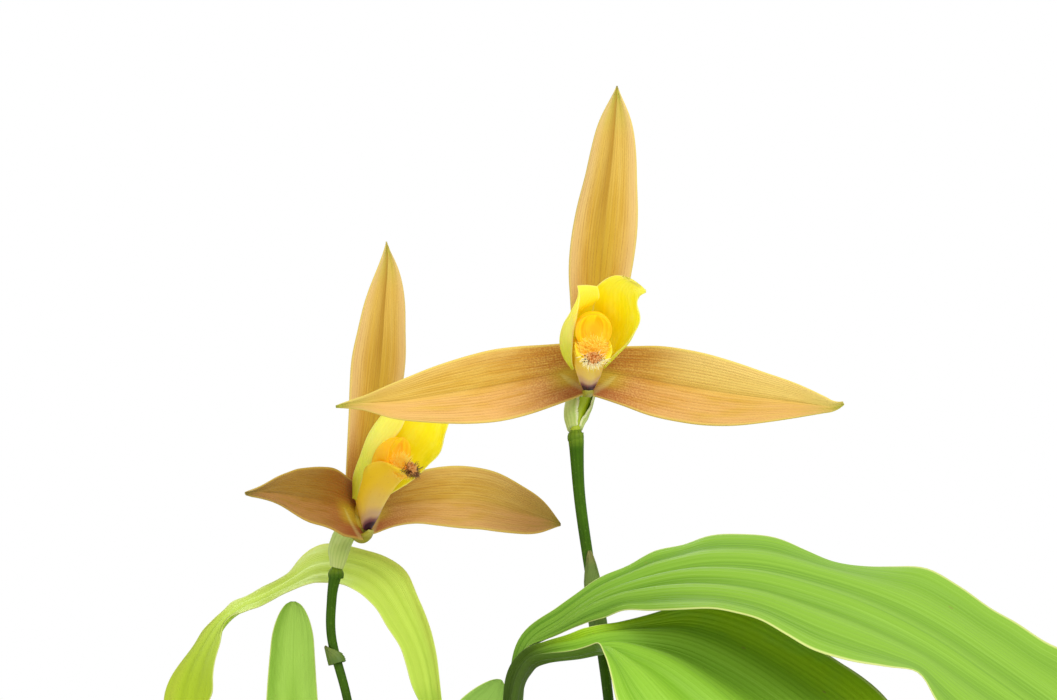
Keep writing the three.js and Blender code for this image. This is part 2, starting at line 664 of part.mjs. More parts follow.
plant.add(stalk('front', FRONT_SCAPE, FRONT_OVARY));
plant.add(stalk('turned', TURNED_SCAPE, TURNED_OVARY));

const frontFlower = flower('front', FRONT_SEPALS);
frontFlower.position.set(...FRONT_CENTRE);
plant.add(frontFlower);

const turnedFlower = flower('turned', TURNED_SEPALS);
turnedFlower.position.set(...TURNED_CENTRE);
turnedFlower.rotation.set(-FLOWER_TILT * RADIANS, 0, FLOWER_TURN * RADIANS, 'ZXY');
plant.add(turnedFlower);

export default plant;
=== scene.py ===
"""Looks of a potted Lycaste lasioglossa: two flowers, five leaves and their bulbs in a clay pot.

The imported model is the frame.  Each piece is made here from the same dimensions with a finer mesh,
stands for its plain solid and gets a finish of its own.  Dimensions are in millimetres and meshes in
metres, +Z up, with the flowers looking toward -Y.
"""

import logging
import math
from dataclasses import dataclass, field, replace
from enum import Enum
from typing import Callable, Protocol, Sequence

import bpy
import numpy as np
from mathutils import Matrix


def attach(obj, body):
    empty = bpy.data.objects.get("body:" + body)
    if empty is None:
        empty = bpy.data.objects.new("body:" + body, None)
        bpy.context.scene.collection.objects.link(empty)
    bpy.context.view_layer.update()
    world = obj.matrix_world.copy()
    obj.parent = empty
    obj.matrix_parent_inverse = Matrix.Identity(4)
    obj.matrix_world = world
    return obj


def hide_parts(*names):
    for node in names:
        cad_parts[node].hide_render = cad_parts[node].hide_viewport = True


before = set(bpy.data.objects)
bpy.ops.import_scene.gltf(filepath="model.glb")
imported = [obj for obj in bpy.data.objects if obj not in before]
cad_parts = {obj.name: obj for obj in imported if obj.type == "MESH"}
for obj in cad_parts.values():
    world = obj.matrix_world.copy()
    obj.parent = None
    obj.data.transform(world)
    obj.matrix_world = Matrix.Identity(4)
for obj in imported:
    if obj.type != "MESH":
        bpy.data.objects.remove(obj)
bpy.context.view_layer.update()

LOG = logging.getLogger("orchid")
MM = 0.001
COARSE = 1.0
OUTWARD = (0.0, -1.0, 0.0)

Points = Sequence[Sequence[float]]
Values = Sequence[float]
Relief = Callable[[np.ndarray, np.ndarray], np.ndarray]
Colour = tuple[float, float, float, float]


# Shapes


def along(values: Sequence, t: np.ndarray | float) -> np.ndarray:
    """Smooth values through evenly spaced ones.

    Args:
        values: Numbers, or lists of numbers, spaced evenly from 0 to 1.
        t: Places to read, from 0 to 1 or a little outside.

    Returns:
        The values at t.
    """
    t = np.asarray(t, float)
    knots = np.asarray(values, float)
    if len(knots) == 1:
        return np.broadcast_to(knots[0], t.shape + knots.shape[1:]).copy()
    last = len(knots) - 1
    ends = np.concatenate([[2 * knots[0] - knots[1]], knots, [2 * knots[-1] - knots[-2]]])
    index = np.clip(np.floor(t * last).astype(int), 0, last - 1)
    u = t * last - index
    if knots.ndim > 1:
        u = u[..., None]
    a, b, c, d = (ends[index + step] for step in range(4))
    return 0.5 * (2 * b + (c - a) * u + (2 * a - 5 * b + 4 * c - d) * u**2 + (3 * b - a - 3 * c + d) * u**3)


def unit(vectors: np.ndarray) -> np.ndarray:
    """Vectors of length one in the same directions."""
    return vectors / np.maximum(np.linalg.norm(vectors, axis=-1, keepdims=True), 1e-9)


def dot(a: np.ndarray, b: np.ndarray) -> np.ndarray:
    """Scalar products, with the last axis kept."""
    return np.sum(a * b, axis=-1, keepdims=True)


def frames(middle: Points, face: Points, t: np.ndarray) -> tuple[np.ndarray, ...]:
    """Frames along a middle line.

    Args:
        middle: Points of the line.
        face: Directions that the surface looks in, along the line.
        t: Places on the line.

    Returns:
        Centre, direction, upward and sideways vectors at each place.
    """
    step = 1e-3
    centre = along(middle, t)
    ahead = unit(along(middle, np.minimum(t + step, 1)) - along(middle, t - step))
    up = along(face, t)
    up = unit(up - ahead * dot(up, ahead))
    return centre, ahead, up, np.cross(ahead, up)


@dataclass
class Loft:
    """Closed rings of points one after another, the skin of one piece.

    Attributes:
        points: Rows of rings of points.
        across: Place round each ring, one value more than the ring has points.
        lengthwise: Place of each ring along the piece.
        upper: 1 on the upper side, 0 on the under side, for each point of a ring.
        tone: A value for the whole skin that its finish may read.
    """

    points: np.ndarray
    across: np.ndarray
    lengthwise: np.ndarray
    upper: np.ndarray
    tone: float = 0.0

    def moved(self, place: Callable[[np.ndarray], np.ndarray]) -> "Loft":
        """The same skin with every point moved by a function."""
        return replace(self, points=place(self.points))

    def faces(self) -> tuple[np.ndarray, np.ndarray, np.ndarray, np.ndarray]:
        """Quads and end triangles with their lay, facing out.

        Returns:
            Quads, their lay, triangles and their lay.
        """
        rows, ring = self.points.shape[:2]
        index = np.arange(rows * ring).reshape(rows, ring)
        after = np.roll(index, -1, axis=1)
        quads = np.stack([index[:-1], after[:-1], after[1:], index[1:]], axis=-1).reshape(-1, 4)
        low, high = np.meshgrid(self.lengthwise[:-1], self.across[:-1], indexing="ij")
        far, wide = np.meshgrid(self.lengthwise[1:], self.across[1:], indexing="ij")
        corners = [(high, low), (wide, low), (wide, far), (high, far)]
        lay = np.stack([np.stack(pair, axis=-1) for pair in corners], axis=2).reshape(-1, 4, 2)
        start, end = rows * ring, rows * ring + 1
        first = np.stack([np.full(ring, start), after[0], index[0]], axis=-1)
        final = np.stack([np.full(ring, end), index[-1], after[-1]], axis=-1)
        triangles = np.concatenate([first, final])
        caps = np.empty((2 * ring, 3, 2))
        caps[:, :, 0] = 0.5
        caps[:ring, :, 1] = self.lengthwise[0]
        caps[ring:, :, 1] = self.lengthwise[-1]
        corners3 = self.vertices()[quads]
        volume = np.sum(np.cross(corners3[:, 0], corners3[:, 1]) * corners3[:, 2])
        volume += np.sum(np.cross(corners3[:, 0], corners3[:, 2]) * corners3[:, 3])
        if volume < 0:
            return quads[:, ::-1], lay[:, ::-1], triangles[:, ::-1], caps
        return quads, lay, triangles, caps

    def vertices(self) -> np.ndarray:
        """All points with the middle points of the two ends."""
        ends = [self.points[0].mean(axis=0), self.points[-1].mean(axis=0)]
        return np.concatenate([self.points.reshape(-1, 3), ends])

    def sides(self) -> np.ndarray:
        """Upper or under side for each vertex."""
        rows = self.points.shape[0]
        return np.concatenate([np.tile(self.upper, rows), [0.5, 0.5]])


def skin(name: str, lofts: Sequence[Loft]) -> bpy.types.Object:
    """One smooth mesh object from closed lofts.

    Args:
        name: Name of the object.
        lofts: Its closed skins, in millimetres.

    Returns:
        The object, linked to the scene.
    """
    vertices, polygons, lays, sides, tones = [], [], [], [], []
    base = 0
    for loft in lofts:
        quads, quad_lay, triangles, cap_lay = loft.faces()
        points = loft.vertices()
        polygons += (quads + base).tolist() + (triangles + base).tolist()
        lays += [quad_lay.reshape(-1, 2), cap_lay.reshape(-1, 2)]
        vertices.append(points)
        sides.append(loft.sides())
        tones.append(np.full(len(points), loft.tone))
        base += len(points)
    mesh = bpy.data.meshes.new(name)
    mesh.from_pydata((np.concatenate(vertices) * MM).tolist(), [], polygons)
    mesh.uv_layers.new(name="lay").data.foreach_set("uv", np.concatenate(lays).ravel())
    mesh.attributes.new("upper", "FLOAT", "POINT").data.foreach_set("value", np.concatenate(sides))
    mesh.attributes.new("tone", "FLOAT", "POINT").data.foreach_set("value", np.concatenate(tones))
    mesh.polygons.foreach_set("use_smooth", np.ones(len(mesh.polygons), bool))
    mesh.update()
    piece = bpy.data.objects.new(name, mesh)
    bpy.context.scene.collection.objects.link(piece)
    return piece


def closed(sheet: "Blade | Panel", rows: int, columns: int, first: float) -> Loft:
    """Closed skin round a thin surface.

    Args:
        sheet: The surface.
        rows: Steps along it.
        columns: Steps across it.
        first: Where it starts along its middle line.

    Returns:
        The skin, thinner at its edges and its tip.
    """
    rows, columns = int(rows * COARSE), int(columns * COARSE)
    t = np.linspace(first, 1, rows + 1)
    s = np.linspace(-1, 1, columns + 1)
    v = (0.7 * s + 0.3 * np.sin(s * math.pi / 2))[None, :]
    surface = sheet.surface(t, v)
    normal = unit(np.cross(np.gradient(surface, axis=1), np.gradient(surface, axis=0)))
    edge = np.sqrt(np.maximum(1 - np.abs(v) ** 6, 0.03))
    tip = np.sqrt(np.clip((1 - t) / 0.06, 0.1, 1))[:, None]
    offset = (sheet.thickness / 2 * edge * tip)[..., None]
    upper, under = surface + normal * offset, surface - normal * offset
    u = (v[0] + 1) / 2
    return Loft(
        points=np.concatenate([upper, under[:, ::-1]], axis=1),
        across=np.concatenate([u, u[::-1], u[:1]]),
        lengthwise=t,
        upper=np.concatenate([np.ones(columns + 1), np.zeros(columns + 1)]),
    )


@dataclass(frozen=True)
class Blade:
    """A leaf, sepal, petal or bract on a middle line.

    Attributes:
        middle: Points of the middle line.
        face: Directions that the upper side looks in.
        half: Distance to each edge, measured on the surface.
        cup: How far the edges turn up, in degrees.
        fold: Slope of the two halves, in degrees.
        roll: Turn about the middle line, in degrees.
        relief: Height added at (t, v), v from -1 to 1 across.
        thickness: Thickness in the middle.
        first: Where the blade starts, 0 or a little less to run into what it grows from.
        blunt: Part of the length over which the tip is rounded.
        plus: How far the v = 1 edge stands out past its half width, along the blade.
        minus: How far the v = -1 edge stands out past its half width, along the blade.
        plus_rise: How far the v = 1 edge is lifted, along the blade.
        minus_rise: How far the v = -1 edge is lifted, along the blade.
    """

    middle: Points
    face: Points
    half: Values
    cup: Values = (0.0,)
    fold: Values = (0.0,)
    roll: Values = (0.0,)
    relief: Relief | None = None
    thickness: float = 0.8
    first: float = 0.0
    blunt: float = 0.0
    plus: Values = (0.0,)
    minus: Values = (0.0,)
    plus_rise: Values = (0.0,)
    minus_rise: Values = (0.0,)

    def surface(self, t: np.ndarray, v: np.ndarray) -> np.ndarray:
        """Points of the middle surface at each t and v."""
        centre, _, up, side = frames(self.middle, self.face, t)
        turn = np.radians(along(self.roll, t))[:, None]
        up, side = up * np.cos(turn) + side * np.sin(turn), side * np.cos(turn) - up * np.sin(turn)
        reach = along(self.half, t)
        if self.blunt:
            reach = reach * np.sqrt(1 - (1 - np.clip((1 - t) / self.blunt, 0, 1)) ** 2)
        reach = np.maximum(reach, 0.3)[:, None]
        bend = np.radians(along(self.cup, t))[:, None]
        bend = np.where(np.abs(bend) < 1e-3, 1e-3, bend)
        slope = np.tan(np.radians(along(self.fold, t)))[:, None]
        stand = np.where(v > 0, along(self.plus, t)[:, None], -along(self.minus, t)[:, None]) * v * v
        across = reach * np.sin(bend * v) / bend + stand
        rise = reach * (1 - np.cos(bend * v)) / bend
        rise = rise + slope * reach * (np.sqrt(v * v + 0.004) - 0.063)
        lift = np.where(v > 0, along(self.plus_rise, t)[:, None], along(self.minus_rise, t)[:, None])
        rise = rise + lift * np.abs(v) ** 2.5
        if self.relief:
            rise = rise + self.relief(t[:, None], v)
        return centre[:, None] + side[:, None] * across[..., None] + up[:, None] * rise[..., None]

    def loft(self, rows: int, columns: int) -> Loft:
        """Closed skin of the blade, thinner at its edges and its tip."""
        return closed(self, rows, columns, self.first)


@dataclass(frozen=True)
class Panel:
    """A petal through three lines that run from its base to its tip.

    Attributes:
        inner: Edge nearest the column.
        middle: Line along its middle.
        outer: Free edge.
        mirrored: Whether it is a left petal, with the inside of the flower on its other face.
        thickness: Thickness in the middle.
    """

    inner: Points
    middle: Points
    outer: Points
    mirrored: bool = False
    thickness: float = 0.7

    def surface(self, t: np.ndarray, v: np.ndarray) -> np.ndarray:
        """Points of the middle surface, with soft waves toward the free edge."""
        inner, middle, outer = (along(line, t)[:, None] for line in (self.inner, self.middle, self.outer))
        v = v[..., None]
        points = inner * v * (v - 1) / 2 + middle * (1 - v * v) + outer * v * (v + 1) / 2
        normal = unit(np.cross(np.gradient(points, axis=1), np.gradient(points, axis=0)))
        free = np.clip(t, 0, 1)[:, None, None]
        wave = 0.28 * np.sin(17 * free + 2 * v) * v * v * np.sin(math.pi * free)
        wave = wave + 0.2 * np.sin(23 * v + 3 * free) * free**4 * (1 - free)
        points = points + normal * wave
        return points[:, ::-1] if self.mirrored else points

    def loft(self, rows: int, columns: int) -> Loft:
        """Closed skin of the petal, thinner at its edges."""
        return closed(self, rows, columns, 0.0)


@dataclass(frozen=True)
class Shaft:
    """A round body along a middle line.

    Attributes:
        middle: Points of the middle line.
        radius: Radius along it.
        flat: Height as a part of the width.
        face: Direction of the height.
        relief: Factor on the radius at (t, angle).
        first: Where it starts, 0 or a little less.
    """

    middle: Points
    radius: Values
    flat: Values = (1.0,)
    face: Sequence[float] = OUTWARD
    relief: Relief | None = None
    first: float = 0.0

    def loft(self, rows: int, sides: int, crown: float = 0.0) -> Loft:
        """Closed skin of the shaft.

        Args:
            rows: Steps along it.
            sides: Points round it.
            crown: Part of the length over which its end is rounded off.

        Returns:
            The skin.
        """
        rows = int(rows * COARSE)
        sides = int(sides * COARSE)
        t = np.linspace(self.first, 1, rows + 1)
        if crown:
            bend = np.linspace(0, math.pi / 2, 9)[1:]
            t = np.concatenate([t[t < 1 - crown], 1 - crown + crown * np.sin(bend)])
        centre, _, up, side = frames(self.middle, [self.face], t)
        angle = np.arange(sides) * 2 * math.pi / sides
        width = along(self.radius, t)[:, None] * np.ones(sides)
        if crown:
            over = np.clip((t - 1 + crown) / crown, 0, 1)[:, None]
            width = width * np.sqrt(np.maximum(1 - over**2, 0.02))
        if self.relief:
            width = width * self.relief(t[:, None], angle[None, :])
        across = (np.cos(angle) * width)[..., None]
        rise = (np.sin(angle) * width * along(self.flat, t)[:, None])[..., None]
        return Loft(
            points=centre[:, None] + side[:, None] * across + up[:, None] * rise,
            across=np.linspace(0, 1, sides + 1),
            lengthwise=t,
            upper=np.ones(sides),
        )


def pleats(depth: float, count: int = 4) -> Relief:
    """Lengthwise pleats that fade toward the stalk, the tip and the edges."""

    def relief(t: np.ndarray, v: np.ndarray) -> np.ndarray:
        """Height of the pleats at (t, v)."""
        ends = np.sin(math.pi * np.clip(t, 0, 1))
        return depth * ends * np.cos(count * math.pi * v) * (1 - v * v)

    return relief


def ruffles(height: float, count: float) -> Relief:
    """Rise and fall of the two edges, out of step with each other."""

    def relief(t: np.ndarray, v: np.ndarray) -> np.ndarray:
        """Height of the ruffles at (t, v)."""
        late = np.where(v > 0, 0.0, 2.0)
        return height * v * v * np.sin(math.pi * np.clip(t, 0, 1)) * np.sin(2 * math.pi * count * t + late)

    return relief


def both(*reliefs: Relief) -> Relief:
    """Sum of several reliefs."""

    def relief(t: np.ndarray, v: np.ndarray) -> np.ndarray:
        """Height of all of them at (t, v)."""
        return sum(one(t, v) for one in reliefs)

    return relief


# Materials


def shade(code: str) -> Colour:
    """Linear colour of a #rrggbb code."""
    parts = [int(code[i : i + 2], 16) / 255 for i in (1, 3, 5)]
    linear = [p / 12.92 if p <= 0.04045 else ((p + 0.055) / 1.055) ** 2.4 for p in parts]
    return (*linear, 1.0)


class Tone:
    """A shader socket that takes part in arithmetic."""

    def __init__(self, paint: "Paint", socket: bpy.types.NodeSocket) -> None:
        """Wraps one output socket of a paint's node tree."""
        self.paint = paint
        self.socket = socket

    def __add__(self, other: "Tone | float") -> "Tone":
        """Sum."""
        return self.paint.maths("ADD", self, other)

    def __radd__(self, other: float) -> "Tone":
        """Sum."""
        return self.paint.maths("ADD", other, self)

    def __sub__(self, other: "Tone | float") -> "Tone":
        """Difference."""
        return self.paint.maths("SUBTRACT", self, other)

    def __rsub__(self, other: float) -> "Tone":
        """Difference from a number."""
        return self.paint.maths("SUBTRACT", other, self)

    def __mul__(self, other: "Tone | float") -> "Tone":
        """Product."""
        return self.paint.maths("MULTIPLY", self, other)

    def __rmul__(self, other: float) -> "Tone":
        """Product."""
        return self.paint.maths("MULTIPLY", other, self)

    def __abs__(self) -> "Tone":
        """Size without sign."""
        return self.paint.maths("ABSOLUTE", self)


class Paint:
    """Node tree of one material."""

    def __init__(self, name: str) -> None:
        """Starts an empty material of that name."""
        self.material = bpy.data.materials.new(name)
        self.material.use_nodes = True
        self.tree = self.material.node_tree
        self.tree.nodes.clear()

    def node(self, kind: str, settings: dict | None = None, inputs: dict | None = None) -> bpy.types.Node:
        """Makes one node.

        Args:
            kind: Type of the node.
            settings: Its own settings, or the stops of its ramp, which are set first.
            inputs: Values or links for its sockets, by name or place.

        Returns:
            The node.
        """
        made = self.tree.nodes.new(kind)
        for key, value in (settings or {}).items():
            if key == "stops":
                self.set_stops(made.color_ramp, value)
            else:
                setattr(made, key, value)
        for key, value in (inputs or {}).items():
            if isinstance(value, Tone):
                self.tree.links.new(value.socket, made.inputs[key])
            else:
                made.inputs[key].default_value = value
        return made

    @staticmethod
    def set_stops(ramp: bpy.types.ColorRamp, stops: Sequence[tuple[float, str]]) -> None:
        """Gives a ramp its stops, each a place and a colour code."""
        ramp.interpolation = "EASE"
        while len(ramp.elements) < len(stops):
            ramp.elements.new(1.0)
        for element, (place, code) in zip(ramp.elements, stops):
            element.position = place
            element.color = shade(code)

    def maths(self, operation: str, *values: "Tone | float") -> Tone:
        """Result of a Math node."""
        made = self.node("ShaderNodeMath", {"operation": operation}, dict(enumerate(values)))
        return Tone(self, made.outputs[0])

    def lay(self) -> tuple[Tone, Tone]:
        """Place across and along the piece, each from 0 to 1."""
        uv = Tone(self, self.node("ShaderNodeUVMap", {"uv_map": "lay"}).outputs["UV"])
        split = self.node("ShaderNodeSeparateXYZ", None, {0: uv})
        return Tone(self, split.outputs[0]), Tone(self, split.outputs[1])

    def attribute(self, name: str) -> Tone:
        """A number that the mesh holds for each point."""
        made = self.node("ShaderNodeAttribute", {"attribute_type": "GEOMETRY", "attribute_name": name})
        return Tone(self, made.outputs["Fac"])

    def vector(self, x: Tone | float, y: Tone | float) -> Tone:
        """Vector of two numbers and zero."""
        return Tone(self, self.node("ShaderNodeCombineXYZ", None, {0: x, 1: y}).outputs[0])

    def place(self) -> Tone:
        """Place in the piece's own space, in metres."""
        return Tone(self, self.node("ShaderNodeTexCoord").outputs["Object"])

    def noise(self, vector: Tone, scale: float, detail: float = 3.0, rough: float = 0.55) -> Tone:
        """Cloudy noise around 0.5."""
        inputs = {"Vector": vector, "Scale": scale, "Detail": detail, "Roughness": rough}
        return Tone(self, self.node("ShaderNodeTexNoise", None, inputs).outputs[0])

    def cells(self, vector: Tone, scale: float) -> Tone:
        """Distance to the nearest of scattered points."""
        inputs = {"Vector": vector, "Scale": scale}
        return Tone(self, self.node("ShaderNodeTexVoronoi", None, inputs).outputs["Distance"])

    def level(self, value: Tone, low: float, high: float) -> Tone:
        """0 below one value and 1 above the other, smooth between."""
        inputs = {"Value": value, "From Min": low, "From Max": high}
        made = self.node("ShaderNodeMapRange", {"interpolation_type": "SMOOTHSTEP"}, inputs)
        return Tone(self, made.outputs[0])

    def ramp(self, value: Tone, stops: Sequence[tuple[float, str]]) -> Tone:
        """Colour on a ramp of stops."""
        return Tone(self, self.node("ShaderNodeValToRGB", {"stops": stops}, {0: value}).outputs[0])

    def mix(self, factor: Tone | float, a: Tone | str, b: Tone | str) -> Tone:
        """Colour a with colour b over it by a factor."""
        inputs = {0: factor}
        for slot, colour in ((6, a), (7, b)):
            inputs[slot] = shade(colour) if isinstance(colour, str) else colour
        made = self.node("ShaderNodeMix", {"data_type": "RGBA", "blend_type": "MIX"}, inputs)
        return Tone(self, made.outputs[2])

    def bump(self, height: Tone, depth: float) -> Tone:
        """Normal of a height from 0 to 1 that is `depth` millimetres deep."""
        inputs = {"Height": height, "Distance": depth * MM, "Strength": 1.0}
        return Tone(self, self.node("ShaderNodeBump", None, inputs).outputs[0])

    def done(
        self, colour: Tone, rough: Tone | float, normal: Tone | None, **fixed: "Tone | float | Values"
    ) -> bpy.types.Material:
        """Ends the material.

        Args:
            colour: Base colour.
            rough: Roughness.
            normal: Normal, or None.
            fixed: Values or links of the shader's other sockets, with _ for a space.

        Returns:
            The material.
        """
        inputs: dict = {"Base Color": colour, "Roughness": rough}
        if normal:
            inputs["Normal"] = normal
        for key, value in fixed.items():
            inputs[key.replace("_", " ")] = value
        shader = self.node("ShaderNodeBsdfPrincipled", None, inputs)
        self.node("ShaderNodeOutputMaterial", None, {0: Tone(self, shader.outputs[0])})
        return self.material


TRANSLUCENT = {"Subsurface_Weight": 0.6, "Subsurface_Scale": 0.006, "Subsurface_Radius": (1.0, 0.85, 0.12)}


class Flush(Enum):
    """Half of a sepal that is the pinker one."""

    NONE = 0
    MINUS = -1
    PLUS = 1


@dataclass(frozen=True)
class SepalFinish:
    """Tan sepal with fine lengthwise veins, a middle groove and light margins, with painted shade and light.

    Attributes:
        name: Name of the material.
        flush: The pinker half.
        painted_shade: How much darker and browner it is painted, at its base and at its tip: mostly painted
            shade on a sepal turned away from the light.
        painted_light: How much lighter its other half is painted, as painted light where the lamp falls on it
            more.
        veins: Veins across it.
    """

    name: str
    flush: Flush = Flush.NONE
    painted_shade: tuple[float, float] = (0.0, 0.0)
    painted_light: float = 0.0
    veins: int = 24

    def material(self) -> bpy.types.Material:
        """Makes the material."""
        paint = Paint(self.name)
        u, t = paint.lay()
        wander = paint.noise(paint.vector(u * 3, t * 5), 1.6) - 0.5
        v = u * 2 - 1
        off = abs(v)
        wave = paint.maths("COSINE", (u + wander * 0.02) * (2 * math.pi * self.veins))
        faint = paint.noise(paint.vector(u * 34, t * 4), 1.0)
        strand = paint.noise(paint.vector(u * 95, t * 2.5), 1.0, 2, 0.6)
        cross = paint.noise(paint.vector(u * 60, t * 120), 1.0, 2)
        vein = paint.level(wave, 0.55, 1.0) * paint.level(faint, 0.35, 0.6) * paint.level(cross, 0.3, 0.55)
        body = paint.ramp(t, [
            (0.0, "#a8701c"), (0.1, "#b98026"), (0.25, "#c8922e"), (0.5, "#d2a43c"), (0.8, "#d8b04a"),
            (0.93, "#ccb84c"), (0.985, "#b0b83a"), (1.0, "#98b02c"),
        ])
        clouds = paint.noise(paint.vector(u * 6, t * 4), 1.5, 4)
        body = paint.mix(paint.level(clouds, 0.35, 0.75) * 0.35, body, "#ecca68")
        body = paint.mix(paint.level(strand, 0.5, 0.72) * 0.4, body, "#eccd78")
        body = paint.mix((1 - paint.level(strand, 0.3, 0.48)) * 0.35, body, "#a8701e")
        lower = v * (self.flush.value or 1)
        two = self.flush is not Flush.NONE
        # Painted light: the half away from the pinker one is made lighter where the lamp falls on it more.
        light = (1 - paint.level(lower, -0.35, 0.2)) * paint.level(t, 0.14, 0.4)
        body = paint.mix(light * self.painted_light, body, "#f6d67c")
        core = (1 - paint.level(off, 0.1, 0.6)) * (1 - paint.level(t, 0.45, 0.8))
        body = paint.mix(core * (0.1 if two else 0.65), body, "#c8a226")
        rim = paint.level(off, 0.45, 0.95) * paint.level(t, 0.12, 0.3)
        body = paint.mix(rim * (0.15 if two else 0.6), body, "#ecc88c")
        shadow = paint.level(v, -0.5, -0.04) * (1 - paint.level(v, -0.04, 0.02)) * paint.level(t, 0.3, 0.65)
        body = paint.mix(shadow * (0.0 if two else 0.8), body, "#ae8020")
        # Painted shade: darkens and browns the whole sepal, from its base to its tip, where it is turned away
        # from the light.
        painted_shade = self.painted_shade[0] + paint.level(t, 0.4, 0.95) * (self.painted_shade[1] - self.painted_shade[0])
        body = paint.mix(painted_shade, body, "#6c4200")
        pink = paint.level(lower, -0.1, 0.3) * paint.level(1 - t, 0.0, 0.12) * paint.level(clouds, 0.2, 0.6)
        body = paint.mix(pink * (0.42 if two else 0.0), body, paint.mix(painted_shade, "#dca06a", "#a2623a"))
        base = 1 - paint.level(t, 0.03, 0.34)
        grain = paint.noise(paint.vector(u * 44, t * 120), 1.0, 2)
        body = paint.mix(base * paint.level(grain, 0.38, 0.6) * 0.62, body, "#a04e18")
        root = (1 - paint.level(t, -0.02, 0.16)) * paint.level(lower, 0.0, 0.6)
        body = paint.mix(root * 0.6, body, "#96481c")
        # Painted shade in the middle groove: a thin darker line along the crease.
        centre = 1 - paint.level(off, 0.012, 0.07)
        body = paint.mix(centre * (1 - paint.level(t, 0.3, 0.7)) * 0.15, body, "#8f5c22")
        ink = paint.mix(painted_shade, "#9a5220", "#6e3a10")
        body = paint.mix(vein * 0.42 * paint.level(1 - off, 0.0, 0.12), body, ink)
        glow = abs(lower - (0.6 - t * 9)) + paint.level(t, 0.03, 0.13) * 0.7
        heart = (1 - paint.level(t, 0.02, 0.15)) * (1 - paint.level(abs(lower - 0.2), 0.12, 0.5))
        body = paint.mix(heart * (0.6 if two else 0.2), body, "#c6b026")
        body = paint.mix((1 - paint.level(glow, 0.02, 0.24)) * 0.3, body, "#d6cf80")
        body = paint.mix((1 - paint.attribute("upper")) * 0.35, body, "#bdb054")
        body = paint.mix(paint.level(off, 0.9, 0.985) * 0.6, body, paint.mix(painted_shade, "#e0cc60", "#bc982c"))
        height = wave * -0.15 + strand * 0.4 + cross * 0.35 - centre * 0.4
        rough = 0.46 + clouds * 0.15
        return paint.done(body, rough, paint.bump(height, 0.12), Specular_IOR_Level=0.2)


@dataclass(frozen=True)
class PetalFinish:
    """Bright yellow petal, lemon outside and orange toward its base, with a faint painted glow."""

    name: str

    def material(self) -> bpy.types.Material:
        """Makes the material."""
        paint = Paint(self.name)
        u, t = paint.lay()
        off = abs(u * 2 - 1)
        wander = paint.noise(paint.vector(u * 3, t * 4), 1.5) - 0.5
        wave = paint.maths("COSINE", (u + wander * 0.03) * (2 * math.pi * 13))
        inner = paint.ramp(t, [
            (0.0, "#e0b000"), (0.18, "#e8c800"), (0.36, "#f2d600"), (0.6, "#fce204"), (1.0, "#fff04c"),
        ])
        outer = paint.ramp(t, [
            (0.0, "#c4d22e"), (0.25, "#d2e044"), (0.5, "#e8ec60"), (0.85, "#f8ee50"), (1.0, "#ffea34"),
        ])
        inner = paint.mix(paint.level(u, 0.4, 0.95) * (1 - paint.level(t, 0.2, 0.75)) * 0.8, inner, "#d8da1e")
        body = paint.mix(paint.attribute("upper"), outer, inner)
        soft = paint.noise(paint.vector(u * 4, t * 5), 1.3, 3)
        body = paint.mix(paint.level(soft, 0.4, 0.75) * 0.3, body, "#fff05e")
        body = paint.mix(paint.level(wave, 0.5, 1.0) * 0.08, body, "#e0b000")
        body = paint.mix(paint.level(off, 0.93, 1.0) * 0.4, body, "#fff59a")
        grain = paint.noise(paint.vector(u * 40, t * 60), 1.0, 2)
        height = wave * 0.3 + grain * 0.4
        # Painted light: a faint glow in the petal's own colour stands in for light coming through it.
        return paint.done(body, 0.45 + soft * 0.12, paint.bump(height, 0.07), Specular_IOR_Level=0.25,
                          Emission_Color=body, Emission_Strength=0.07, **TRANSLUCENT)


@dataclass(frozen=True)
class LipFinish:
    """Lip that runs from dark purple through mauve and cream to yellow and orange, with a faint painted glow.
    """

    name: str

    def material(self) -> bpy.types.Material:
        """Makes the material."""
        paint = Paint(self.name)
        u, t = paint.lay()
        off = abs(u * 2 - 1)
        wander = paint.noise(paint.vector(u * 5, t * 6), 1.5, 3)
        place = t + (wander - 0.5) * 0.02 + off * off * 0.25
        outer = paint.ramp(place, [
            (0.0, "#22050e"), (0.12, "#2c0717"), (0.155, "#6d4044"), (0.22, "#bf9c74"), (0.33, "#e0bc5c"),
            (0.55, "#f2c636"), (0.85, "#f4c44a"), (1.0, "#efaa58"),
        ])
        inner = paint.ramp(place, [(0.0, "#5c1a2a"), (0.3, "#e09a1c"), (0.6, "#fbae06"), (1.0, "#f09a48")])
        body = paint.mix(paint.attribute("upper"), outer, inner)
        side = paint.level(off, 0.3, 0.7) * paint.level(t, 0.1, 0.32)
        body = paint.mix(side * 0.85, body, "#f4cb20")
        dots = 1 - paint.level(paint.cells(paint.vector(u * 22, t * 26), 1.0), 0.1, 0.3)
        body = paint.mix(dots * 0.12 * paint.level(t, 0.1, 0.4), body, "#b5513a")
        grain = paint.noise(paint.vector(u * 40, t * 60), 1.0, 2)
        # Painted light: a faint glow in the lip's own colour stands in for light coming through it.
        return paint.done(body, 0.42 + wander * 0.15, paint.bump(grain, 0.08), Specular_IOR_Level=0.25,
                          Emission_Color=body, Emission_Strength=0.1, **TRANSLUCENT)


